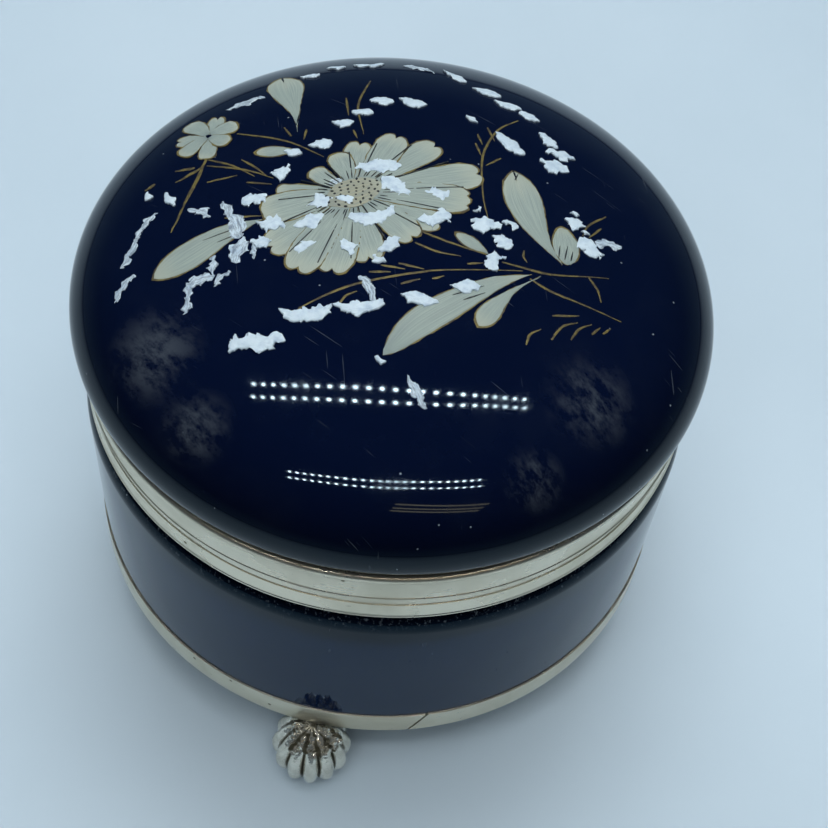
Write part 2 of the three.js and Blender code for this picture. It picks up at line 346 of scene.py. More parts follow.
class Board:
    """One material's nodes, ending in one Principled shader."""

    def __init__(self, name: str) -> None:
        """Make the material with an empty board.

        Args:
            name: The material's name.
        """
        self.material = bpy.data.materials.new(name)
        self.material.use_nodes = True
        self.nodes = self.material.node_tree.nodes
        self.links = self.material.node_tree.links
        self.nodes.clear()
        self.place = self.add("ShaderNodeTexCoord", {}, {}, "Object")
        self.own_map = self.add("ShaderNodeTexCoord", {}, {}, "UV")

    def add(self, kind: str, settings: dict, inputs: dict, output: object = 0) -> Wire:
        """Add a node.

        Args:
            kind: The node's type.
            settings: Its properties; "stops" holds a ramp's (position, colour) pairs.
            inputs: A value or a Wire for each named or numbered input.
            output: The output that is wanted.

        Returns:
            That output as a Wire.
        """
        node = self.nodes.new(kind)
        for key, value in settings.items():
            if key == "stops":
                ramp = node.color_ramp.elements
                while len(ramp) < len(value):
                    ramp.new(0.5)
                for stop, (position, colour) in zip(ramp, value):
                    stop.position = position
                    stop.color = colour
            else:
                setattr(node, key, value)
        for key, value in inputs.items():
            if isinstance(value, Wire):
                self.links.new(value.socket, node.inputs[key])
            else:
                node.inputs[key].default_value = value
        return Wire(self, node.outputs[output])

    def spread(self, source: Wire, scale: Sequence[float], turn: float = 0.0) -> Wire:
        """Stretch and turn coordinates.

        Args:
            source: The coordinates.
            scale: Factors along the three axes.
            turn: Turn about Z in degrees, before the stretch.

        Returns:
            The new coordinates.
        """
        settings = {"vector_type": "POINT"}
        turned_in = self.add("ShaderNodeMapping", settings, {0: source, "Rotation": (0, 0, math.radians(turn))})
        return self.add("ShaderNodeMapping", settings, {0: turned_in, "Scale": tuple(scale)})

    def cloud(self, source: Wire, scale: float, detail: float = 3.0, rough: float = 0.55) -> Wire:
        """Noise between 0 and 1.

        Args:
            source: The coordinates.
            scale: Patches per unit.
            detail: Number of finer layers.
            rough: Strength of the finer layers.

        Returns:
            The noise value.
        """
        inputs = {"Vector": source, "Scale": scale, "Detail": detail, "Roughness": rough}
        return self.add("ShaderNodeTexNoise", {}, inputs, "Fac")

    def cells(self, source: Wire, scale: float, output: str = "Distance") -> Wire:
        """Distance to the nearest scattered point, or that point's colour.

        Args:
            source: The coordinates.
            scale: Points per unit.
            output: "Distance" or "Color".

        Returns:
            The chosen output.
        """
        return self.add("ShaderNodeTexVoronoi", {}, {"Vector": source, "Scale": scale}, output)

    def step(self, value: Wire, low: float, high: float, bottom: float = 0.0, top: float = 1.0) -> Wire:
        """Bring a stretch of values to a smooth step.

        Args:
            value: The value.
            low: Where the step starts.
            high: Where it ends.
            bottom: The result below low.
            top: The result above high.

        Returns:
            The stepped value.
        """
        inputs = {"Value": value, "From Min": low, "From Max": high, "To Min": bottom, "To Max": top}
        return self.add("ShaderNodeMapRange", {"interpolation_type": "SMOOTHSTEP"}, inputs)

    def blend(self, share: object, under: object, over: object) -> Wire:
        """Mix two colours.

        Args:
            share: How much of the second shows.
            under: First colour or Wire.
            over: Second colour or Wire.

        Returns:
            The mixed colour.
        """
        return self.add("ShaderNodeMix", {"data_type": "RGBA"}, {0: share, 6: under, 7: over}, 2)

    def near(self, source: Wire, centre: Sequence[float], radius: float) -> Wire:
        """1 at a place, falling to 0 at a distance.

        Args:
            source: The coordinates.
            centre: The place, in metres.
            radius: Where it reaches 0, in metres.

        Returns:
            The mask.
        """
        away = self.add("ShaderNodeVectorMath", {"operation": "DISTANCE"}, {0: source, 1: tuple(centre)}, "Value")
        return self.step(away, 0.0, radius, 1.0, 0.0)

    def bump(self, height: Wire, depth: float, strength: float = 1.0) -> Wire:
        """Turn a height into a normal.

        Args:
            height: The height, 0 to 1.
            depth: What 1 stands for, in metres.
            strength: How much of it is used.

        Returns:
            The normal.
        """
        return self.add("ShaderNodeBump", {}, {"Strength": strength, "Distance": depth, "Height": height})

    def finish(self, **sockets: object) -> bpy.types.Material:
        """Add the shader and end the board.

        Args:
            **sockets: Its inputs, with spaces written as underscores.

        Returns:
            The finished material.
        """
        inputs = {key.replace("_", " "): value for key, value in sockets.items()}
        shader = self.add("ShaderNodeBsdfPrincipled", {}, inputs, "BSDF")
        self.add_output(shader)
        return self.material

    def add_output(self, shader: Wire) -> None:
        """Connect the shader to the material's output."""
        output = self.nodes.new("ShaderNodeOutputMaterial")
        self.links.new(shader.socket, output.inputs["Surface"])


def rgb(red: float, green: float, blue: float) -> Colour:
    """An opaque linear colour."""
    return (red, green, blue, 1.0)


# ------------------------------------------------------------------ finishes


@dataclass(frozen=True)
class CobaltGlass:
    """Deep cobalt glass, handled and a little dusty, with painted light and shade that change with height."""

    name: str = "cobalt_glass"
    deep: Colour = rgb(0.0003, 0.0006, 0.0040)
    # Painted light and shade: the colour taken on above a height, lighter on the lid's crown and near-black on the
    # bowl's shoulder.
    top_shading: Colour = rgb(0.0014, 0.0042, 0.0190)
    top_shading_from: float = 76.0
    top_shading_to: float = 88.0
    dust: Colour = rgb(0.30, 0.36, 0.40)
    grey_patches: tuple[tuple[float, float, float, float], ...] = ()
    roughness: float = 0.035
    index: float = 1.41
    mirror: Colour = rgb(0.66, 0.88, 1.0)
    grime_height: float = 0.0

    def make(self) -> bpy.types.Material:
        """Build the material."""
        board = Board(self.name)
        height = board.add("ShaderNodeSeparateXYZ", {}, {0: board.place}, 2)
        # Painted light and shade by height: deep below the lower height, the upper tone above the higher one.
        tone = board.step(height + board.cloud(board.place, 18.0, 2.0) * 0.006, self.top_shading_from * MM, self.top_shading_to * MM)
        base = board.blend(tone, self.deep, self.top_shading)
        film = board.step(board.cloud(board.place, 90.0, 5.0, 0.62), 0.42, 0.75)
        veil = film * 0.004
        # Greyer, rougher patches round a few given spots.
        for x, y, z, radius in self.grey_patches:
            patch_mask = board.near(board.place, (x * MM, y * MM, z * MM), radius * MM)
            grain = board.step(board.cloud(board.spread(board.place, (1, 1.8, 1), 35), 150.0, 6.0, 0.72), 0.40, 0.64)
            veil = veil + patch_mask * grain * 0.15
        long_way = board.cloud(board.spread(board.place, (60, 2600, 300), 24), 1.0, 1.0)
        cross_way = board.cloud(board.spread(board.place, (2300, 50, 300), -18), 1.0, 1.0)
        patch = board.step(board.cloud(board.place, 70.0, 2.0), 0.5, 0.62)
        scratch = (board.step(long_way, 0.735, 0.76) + board.step(cross_way, 0.74, 0.765)) * patch
        seeds = board.cells(board.place, 420.0)
        pick = board.add("ShaderNodeSeparateColor", {}, {0: board.cells(board.place, 420.0, "Color")}, 0)
        lint = board.step(seeds, 0.05, 0.09, 1.0, 0.0) * (pick > 0.90)
        veil = (veil + scratch * 0.10 + lint * 0.5).clamped()
        if self.grime_height > 0:
            crumbs = board.step(board.cloud(board.place, 1500.0, 4.0, 0.7), 0.55, 0.68)
            near_mount = board.step(height, (self.grime_height - 4.5) * MM, (self.grime_height - 1.5) * MM)
            veil = (veil + crumbs * near_mount * 0.22).clamped()
        colour = board.blend(veil, base, self.dust)
        rough = film * 0.03 + veil * 0.5 + self.roughness
        ripple = board.cloud(board.place, 45.0, 1.0)
        normal = board.bump(ripple, 0.00035, 0.35)
        return board.finish(Base_Color=colour, Roughness=rough, IOR=self.index, Specular_Tint=self.mirror, Normal=normal)


@dataclass(frozen=True)
class SheetBrass:
    """Pale worn gilding on rolled sheet brass, with fine lines round the hoop and a few pits."""

    name: str = "gilt_brass"
    bright: Colour = rgb(0.76, 0.70, 0.56)
    dull: Colour = rgb(0.60, 0.55, 0.42)
    stain: Colour = rgb(0.20, 0.17, 0.10)
    roughness: float = 0.20
    wave: float = 0.00006

    def make(self) -> bpy.types.Material:
        """Build the material."""
        board = Board(self.name)
        wear = board.step(board.cloud(board.place, 55.0, 4.0), 0.38, 0.66)
        lines = board.cloud(board.spread(board.place, (16, 16, 3600)), 1.0, 3.0)
        base = board.blend(wear * 0.8, self.bright, self.dull)
        base = board.blend(board.step(lines, 0.5, 0.8) * 0.22, base, self.dull)
        seeds = board.cells(board.place, 260.0)
        pick = board.add("ShaderNodeSeparateColor", {}, {0: board.cells(board.place, 260.0, "Color")}, 0)
        pits = board.step(seeds, 0.05, 0.11, 1.0, 0.0) * (pick > 0.90)
        specks = board.step(board.cloud(board.place, 900.0, 4.0, 0.7), 0.66, 0.74)
        marks = (pits + specks * 0.5).clamped()
        colour = board.blend(marks, base, self.stain)
        rough = wear * 0.12 + lines * 0.08 + marks * 0.3 + self.roughness
        swell = board.cloud(board.place, 70.0, 1.0) + lines * 0.05 - pits * 0.6
        normal = board.bump(swell, self.wave, 1.0)
        return board.finish(Base_Color=colour, Metallic=0.88, Roughness=rough, Normal=normal)


@dataclass(frozen=True)
class CastGilt:
    """Silvery gilding worn in patches, with painted shade black in the casting's grooves and under its collar."""

    name: str = "cast_gilt"
    bright: Colour = rgb(0.80, 0.78, 0.68)
    dull: Colour = rgb(0.50, 0.48, 0.39)
    painted_shade: Colour = rgb(0.075, 0.070, 0.045)

    def make(self) -> bpy.types.Material:
        """Build the material."""
        board = Board(self.name)
        # hollow holds how deep each place sits in a groove or under the collar, for the painted shade.
        hollow = board.add("ShaderNodeAttribute", {"attribute_name": "hollow"}, {}, "Fac")
        patches = board.cloud(board.place, 420.0, 4.0, 0.65)
        worn = board.step(patches, 0.40, 0.62)
        # Painted shade, black in the grooves and under the collar, broken up by patches; it also dulls the metal.
        shade_share = board.step(hollow + (patches - 0.5) * 0.55, 0.42, 0.80)
        base = board.blend(worn * 0.6, self.bright, self.dull)
        colour = board.blend(shade_share, base, self.painted_shade)
        rough = worn * 0.10 + shade_share * 0.25 + 0.10
        normal = board.bump(board.cloud(board.place, 700.0, 3.0), 0.00022, 0.8)
        return board.finish(Base_Color=colour, Metallic=0.78 - shade_share * 0.4, Roughness=rough, Normal=normal)


@dataclass(frozen=True)
class PetalPaint:
    """Thin grey-green body colour, brushed along the petal so that the glass shows through."""

    name: str = "petal_paint"
    full: Colour = rgb(0.31, 0.37, 0.33)
    light: Colour = rgb(0.40, 0.43, 0.35)
    thin: Colour = rgb(0.14, 0.19, 0.20)

    def make(self) -> bpy.types.Material:
        """Build the material."""
        board = Board(self.name)
        along = board.add("ShaderNodeSeparateXYZ", {}, {0: board.own_map}, 0)
        tip = board.add("ShaderNodeMath", {"operation": "FRACT"}, {0: along})
        hairs = board.cloud(board.spread(board.own_map, (2.2, 26, 1)), 1.0, 3.0, 0.6)
        streak = board.step(hairs, 0.35, 0.68)
        base = board.blend(streak * 0.55, self.full, self.thin)
        base = board.blend(board.step(hairs, 0.55, 0.8) * 0.6, base, self.light)
        base = board.blend(board.step(tip, 0.72, 1.0) * 0.55, base, self.light)
        root = board.step(tip, 0.0, 0.35, 1.0, 0.0)
        colour = board.blend(root * 0.35, base, self.thin)
        normal = board.bump(hairs, 0.00008, 0.9)
        return board.finish(Base_Color=colour, Roughness=0.34 + hairs * 0.16, IOR=1.5, Normal=normal)


@dataclass(frozen=True)
class LineGold:
    """Matt olive gold of outlines, stalks and grasses."""

    name: str = "line_gold"
    gold: Colour = rgb(0.185, 0.150, 0.050)
    brown: Colour = rgb(0.085, 0.070, 0.040)

    def make(self) -> bpy.types.Material:
        """Build the material."""
        board = Board(self.name)
        worn = board.cloud(board.place, 600.0, 4.0, 0.65)
        colour = board.blend(board.step(worn, 0.42, 0.62), self.gold, self.brown)
        normal = board.bump(worn, 0.00005, 0.7)
        return board.finish(Base_Color=colour, Metallic=0.25, Roughness=0.45, Normal=normal)


@dataclass(frozen=True)
class InkLine:
    """Near-black brush lines of the seed head and the petals' folds."""

    name: str = "ink_line"
    ink: Colour = rgb(0.010, 0.014, 0.020)
    rubbed: Colour = rgb(0.060, 0.060, 0.045)

    def make(self) -> bpy.types.Material:
        """Build the material."""
        board = Board(self.name)
        worn = board.step(board.cloud(board.place, 800.0, 3.0), 0.5, 0.68)
        colour = board.blend(worn, self.ink, self.rubbed)
        return board.finish(Base_Color=colour, Roughness=0.4)


@dataclass(frozen=True)
class WhiteEnamel:
    """Raised white enamel, glossy, bluish where it was drawn out thin."""

    name: str = "white_enamel"
    white: Colour = rgb(0.56, 0.67, 0.74)
    milk: Colour = rgb(0.30, 0.41, 0.54)
    gap: Colour = rgb(0.030, 0.050, 0.095)
    thinness: float = 0.0

    def make(self) -> bpy.types.Material:
        """Build the material."""
        board = Board(self.name)
        body = board.cloud(board.place, 520.0, 3.0, 0.6)
        hairs = board.cloud(board.spread(board.own_map, (3.0, 6.0, 1)), 1.0, 5.0, 0.75)
        edge = board.step(board.cloud(board.place, 900.0, 3.0), 0.45, 0.7)
        colour = board.blend(board.step(body, 0.45, 0.72) * 0.55, self.white, self.milk)
        colour = board.blend(edge * 0.25, colour, self.milk)
        bare = board.step(hairs, 0.60 - self.thinness * 0.16, 0.74 - self.thinness * 0.16)
        colour = board.blend(bare * (0.25 + self.thinness * 0.4), colour, self.gap)
        height = body * 0.7 + hairs * 0.5
        normal = board.bump(height, 0.00022, 0.8)
        return board.finish(Base_Color=colour, Roughness=0.24 + body * 0.15, IOR=1.5, Normal=normal)


@dataclass(frozen=True)
class Plaster:
    """Crumbly, dirty plaster cement."""

    name: str = "plaster"
    pale: Colour = rgb(0.34, 0.33, 0.29)
    dark: Colour = rgb(0.035, 0.035, 0.035)

    def make(self) -> bpy.types.Material:
        """Build the material."""
        board = Board(self.name)
        grain = board.cloud(board.place, 1400.0, 5.0, 0.7)
        colour = board.blend(board.step(grain, 0.40, 0.62), self.pale, self.dark)
        normal = board.bump(grain, 0.0003, 1.0)
        return board.finish(Base_Color=colour, Roughness=0.85, Normal=normal)


@dataclass(frozen=True)
class TableTop:
    """A pale blue-grey laminate under the box."""

    name: str = "table_top"
    pale: Colour = rgb(0.555, 0.670, 0.755)
    grey: Colour = rgb(0.520, 0.635, 0.720)

    def make(self) -> bpy.types.Material:
        """Build the material."""
        board = Board(self.name)
        tone = board.step(board.cloud(board.place, 6.0, 4.0), 0.35, 0.65)
        colour = board.blend(tone, self.pale, self.grey)
        return board.finish(Base_Color=colour, Roughness=0.42, IOR=1.4)


def dress(piece: bpy.types.Object, material: bpy.types.Material) -> None:
    """Give an object one material and no other.

    Args:
        piece: The object.
        material: Its material.
    """
    piece.data.materials.clear()
    piece.data.materials.append(material)


# ------------------------------------------------------------------ glass


@dataclass
class Bowl:
    """The glass bowl, with its cement beds and its collar in the neck."""

    wall: float = 3.0
    neck: float = 48.8
    corner: float = 3.0
    shoulder: float = 4.0
    shoulder_z: float = 51.5
    foot_radius: float = 51.8
    band_top: float = 20.2
    collar_radius: float = 46.6
    collar_wall: float = 0.5
    floor_thickness: float = 4.0
    # Its upper tone is painted shade: a near-black shoulder under the mount.
    finish: CobaltGlass = field(default_factory=lambda: CobaltGlass(
            name="bowl_glass", deep=rgb(0.0002, 0.0085, 0.0360), top_shading=rgb(0.0003, 0.0008, 0.0040),
            index=1.33, mirror=rgb(0.35, 0.72, 1.0), top_shading_from=49.0, top_shading_to=54.0, grime_height=56.0,
        ))

    def glass(self) -> bpy.types.Object:
        """Turn the bowl."""
        low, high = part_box("body_glass")
        radius, bottom, top = high.x / MM, low.z / MM, high.z / MM
        inner_neck = self.collar_radius + 0.3
        inner_foot = self.foot_radius - self.wall
        inner_wide = radius - self.wall
        floor = bottom + self.floor_thickness
        corner = self.corner
        section = [
            (0.0, bottom),
            *arc((self.foot_radius - corner, bottom + corner), (corner, corner), -90, 0, 12),
            (self.foot_radius + 0.02, self.band_top + 0.02),
            (self.foot_radius + 0.50, self.band_top + 0.04),
            (self.foot_radius + 0.64, self.band_top + 3.8),
            *arc((self.neck, self.shoulder_z), (radius - self.neck, self.shoulder), 0, 84, 18),
            *arc((self.neck + 0.6, self.shoulder_z + self.shoulder + 0.55), (0.6, 0.6), 264, 180, 5),
            *arc((self.neck - 0.5, top - 0.5), (0.5, 0.5), 0, 90, 4),
            *arc((inner_neck + 0.5, top - 0.5), (0.5, 0.5), 90, 180, 4),
            *arc((inner_neck, self.shoulder_z), (inner_wide - inner_neck, self.shoulder - 1), 90, 0, 10),
            *arc((inner_foot - corner, floor + corner), (corner, corner), 0, -90, 10),
            (0.0, floor),
        ]
        return turned("bowl_glass", section)

    def collar(self) -> bpy.types.Object:
        """Turn the sleeve in the neck, with a rolled lower edge."""
        low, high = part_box("body_collar")
        outer, inner = self.collar_radius, self.collar_radius - self.collar_wall
        bottom, top = low.z / MM, high.z / MM
        middle = (outer + inner) / 2
        section = [
            *arc((middle, bottom + 0.25), (0.25, 0.25), 180, 360, 8),
            *arc((middle, top - 0.25), (0.25, 0.25), 0, 180, 8),
        ]
        return ring("bowl_collar", section)

    def neck_cement(self) -> bpy.types.Object:
        """A crumbly bed that shows as a rough line under the mount."""
        low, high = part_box("body_cement")
        bottom, top = low.z / MM, high.z / MM
        inner, outer = self.neck + 0.05, high.x / MM
        section = [
            (inner, bottom + 0.1),
            *arc((inner + 0.55, bottom + 0.12), (0.5, 0.45), 190, 350, 5),
            (outer - 0.2, bottom + 0.3),
            (outer, bottom + 0.6),
            (outer, top),
            (inner, top),
        ]
        bed = ring("bowl_cement", section, steps=AROUND * 2)

        def crumble(place: Vector) -> Vector:
            drop = max(0.0, 1.0 - (place.z / MM - bottom) / 1.2)
            shake = noise.noise_vector(place / (0.7 * MM)) * 0.22 + noise.noise_vector(place / (2.4 * MM)) * 0.25
            return place + shake * drop * MM

        displace(bed, crumble)
        return bed

    def build(self) -> None:
        """Build and dress the bowl."""
        glass = self.glass()
        smooth(glass)
        dress(glass, self.finish.make())
        report(glass, "base", "cobalt_glass", "body_glass")
        collar = self.collar()
        smooth(collar)
        dress(collar, SheetBrass(name="collar_brass", roughness=0.28).make())
        report(collar, "base", "gilt_brass", "body_collar")
        plaster = Plaster().make()
        bed = self.neck_cement()
        dress(bed, plaster)
        report(bed, "base", "plaster", "body_cement")
        dress(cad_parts["base_cement"], plaster)


@dataclass
class LidGlass:
    """The domed lid glass with its curled-under edge."""

    neck: float = 48.8
    wide_z: float = 73.0
    neck_z: float = 69.2
    wall: float = 3.0
    collar_radius: float = 45.7

    @cached_property
    def size(self) -> tuple[float, float]:
        """The dome's radius and rise."""
        _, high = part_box("lid_glass")
        return high.x / MM, high.z / MM - self.wide_z

    def height(self, x: float, y: float) -> float:
        """Height of the dome's outer face over a place in plan.

        Args:
            x: Place across, in millimetres.
            y: Place towards the hinge, in millimetres.

        Returns:
            The height in millimetres.
        """
        radius, rise = self.size
        share = min(0.9999, (x * x + y * y) / (radius * radius))
        return self.wide_z + rise * math.sqrt(1.0 - share)

    def glass(self) -> bpy.types.Object:
        """Turn the lid glass."""
        low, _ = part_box("lid_glass")
        radius, rise = self.size
        bottom = low.z / MM
        inner_neck = self.collar_radius + 0.3
        curl = (radius - self.neck, self.wide_z - self.neck_z)
        inner = (radius - self.wall, rise - self.wall)
        section = [
            (0.0, self.wide_z + rise),
            *arc((0, self.wide_z), (radius, rise), 89, 70, 10),
            *arc((0, self.wide_z), (radius, rise), 68, 0, 44),
            *arc((self.neck, self.wide_z), curl, -6, -90, 16),
            *arc((self.neck - 0.5, bottom + 0.5), (0.5, 0.5), 0, -90, 4),
            *arc((inner_neck + 0.5, bottom + 0.5), (0.5, 0.5), -90, -180, 4),
            (inner_neck, self.neck_z),
            *arc((0, self.wide_z), inner, 0, 88, 30),
            (0.0, self.wide_z + inner[1]),
        ]
        return turned("lid_dome", section)

    def build(self) -> None:
        """Build and dress the lid glass."""
        dome = self.glass()
        smooth(dome)
        # The default upper tone is painted light, a lighter crown.
        finish = CobaltGlass(
            name="lid_glass",
            # Greyer, rougher patches round four given spots on the lid.
            grey_patches=((-32, -30, 84, 10), (-22, -40, 81, 7), (35, -22, 84, 9), (29, -37, 82, 6)),
        )
        dress(dome, finish.make())
        report(dome, "lid", "cobalt_glass", "lid_glass")


# ------------------------------------------------------------------ mounts


@dataclass
class Mounts:
    """The sheet-brass rims of bowl and lid, the wire bead and the lid's collar."""

    radius: float = 52.0
    sheet: float = 0.5
    roll: float = 0.25
    step_z: float = 59.6
    step: float = 0.2
    bowl_inner: float = 46.9
    lid_inner: float = 46.0
    bead: float = 0.85
    lid_collar_radius: float = 45.7

    def body_rim(self) -> bpy.types.Object:
        """The bowl's mount, with a rolled lower edge and a fine step."""
        low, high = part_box("body_rim")
        bottom, top = low.z / MM, high.z / MM
        wall = self.radius - self.sheet
        upper = self.radius - self.step
        roll = self.roll
        section = [
            (wall, bottom + 0.15),
            *arc((self.radius + roll - 0.3, bottom + 0.3), (0.3, 0.3), -110, 60, 8),
            (self.radius, bottom + 0.85),
            (self.radius, self.step_z - 0.08),
            (self.radius - 0.04, self.step_z),
            (upper, self.step_z + 0.03),
            *arc((upper - 0.35, top - 0.35), (0.35, 0.35), 0, 90, 5),
            (self.bowl_inner, top),
            (self.bowl_inner, top - self.sheet),
            (wall, top - self.sheet),
        ]
        return ring("bowl_rim", section)

    def lid_rim(self) -> bpy.types.Object:
        """The lid's mount, with a flared lower lip, carried up under the bead."""
        low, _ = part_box("lid_rim")
        bead_low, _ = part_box("lid_bead")
        bottom = low.z / MM
        top = bead_low.z / MM + 0.15
        wall = self.radius - self.sheet
        roll = self.roll
        section = [
            (self.lid_inner, bottom),
            *arc((self.radius + roll - 0.28, bottom + 0.28), (0.28, 0.28), -90, 70, 8),
            (self.radius, bottom + 0.8),
            (self.radius, top),
            (wall, top),
            (wall, bottom + self.sheet),
            (self.lid_inner, bottom + self.sheet),
        ]
        return ring("lid_rim_shell", section)

    def lid_bead(self) -> bpy.types.Object:
        """The wire along the top of the lid's mount."""
        low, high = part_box("lid_bead")
        middle = (high.x / MM - self.bead, (low.z + high.z) / 2 / MM)
        return ring("lid_wire_bead", arc(middle, (self.bead, self.bead), 0, 345, 23))

    def lid_collar(self) -> bpy.types.Object:
        """The sleeve that drops into the bowl's neck."""
        low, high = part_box("lid_collar")
        outer, inner = self.lid_collar_radius, self.lid_collar_radius - self.sheet
        middle = (outer + inner) / 2
        section = [
            *arc((middle, low.z / MM + 0.25), (0.25, 0.25), 180, 360, 8),
            *arc((middle, high.z / MM - 0.25), (0.25, 0.25), 0, 180, 8),
        ]
        return ring("lid_sleeve", section)

    def build(self) -> None:
        """Build and dress the mounts."""
        brass = SheetBrass().make()
        sleeve_brass = SheetBrass(name="sleeve_brass", roughness=0.28).make()
        plan = (
            (self.body_rim(), "base", "body_rim", brass, 0.05),
            (self.lid_rim(), "lid", "lid_rim", brass, 0.05),
            (self.lid_bead(), "lid", "lid_bead", brass, 0.03),
            (self.lid_collar(), "lid", "lid_collar", sleeve_brass, 0.03),
        )
        for piece, body, node, material, wave in plan:
            displace(piece, wavy(wave, 14.0, len(node)))
            smooth(piece)
            dress(piece, material)
            report(piece, body, "gilt_brass", node)
        dress(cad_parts["lid_cement"], Plaster(name="lid_plaster").make())


@dataclass
class BaseBand:
    """The hoop round the bottom, closed by a slanting seam."""

    sheet: float = 0.5
    lip: float = 46.0
    glass_radius: float = 51.86
    seam_angle: float = 290.1
    seam_slant: float = 30.0
    seam_width: float = 0.40

    def hoop(self) -> bpy.types.Object:
        """Turn the hoop and open its seam with a thin blade."""
        low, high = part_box("base_band")
        radius, bottom, top = high.x / MM, low.z / MM, high.z / MM
        inner = radius - self.sheet
        section = [
            (self.lip, bottom),
            *arc((radius - 0.45, bottom + 0.45), (0.45, 0.45), -90, 0, 5),
            *arc((radius - 0.1, top - 0.1), (0.1, 0.1), 0, 90, 4),
            (self.glass_radius, top - 0.02),
            (self.glass_radius, top - 0.35),
            (inner, top - 0.7),
            (inner, bottom + self.sheet),
            (self.lip, bottom + self.sheet),
        ]
        hoop = ring("base_hoop", section, steps=AROUND + 48)
        clear_selection()
        bpy.ops.mesh.primitive_cube_add(size=1.0, location=(0, 0, 0))
        blade = christen("seam_blade")
        turn = Matrix.Rotation(math.radians(self.seam_angle), 4, "Z")
        slant = Matrix.Rotation(math.radians(-self.seam_slant), 4, "X")
        size = Matrix.Diagonal((18 * MM, self.seam_width * MM, 16 * MM, 1.0))
        place = Matrix.Translation(((radius - 3) * MM, 0, (bottom + top) / 2 * MM))
        blade.data.transform(turn @ place @ slant @ size)
        modify(hoop, "BOOLEAN", operation="DIFFERENCE", object=blade, solver="EXACT")
        bpy.data.objects.remove(blade)
        return hoop

    def build(self) -> None:
        """Build and dress the band."""
        hoop = self.hoop()
        displace(hoop, wavy(0.05, 18.0, 3.0))
        smooth(hoop)
        dress(hoop, SheetBrass(name="band_brass", bright=rgb(0.72, 0.68, 0.54), roughness=0.24).make())
        report(hoop, "base", "gilt_brass", "base_band")


# ------------------------------------------------------------------ feet


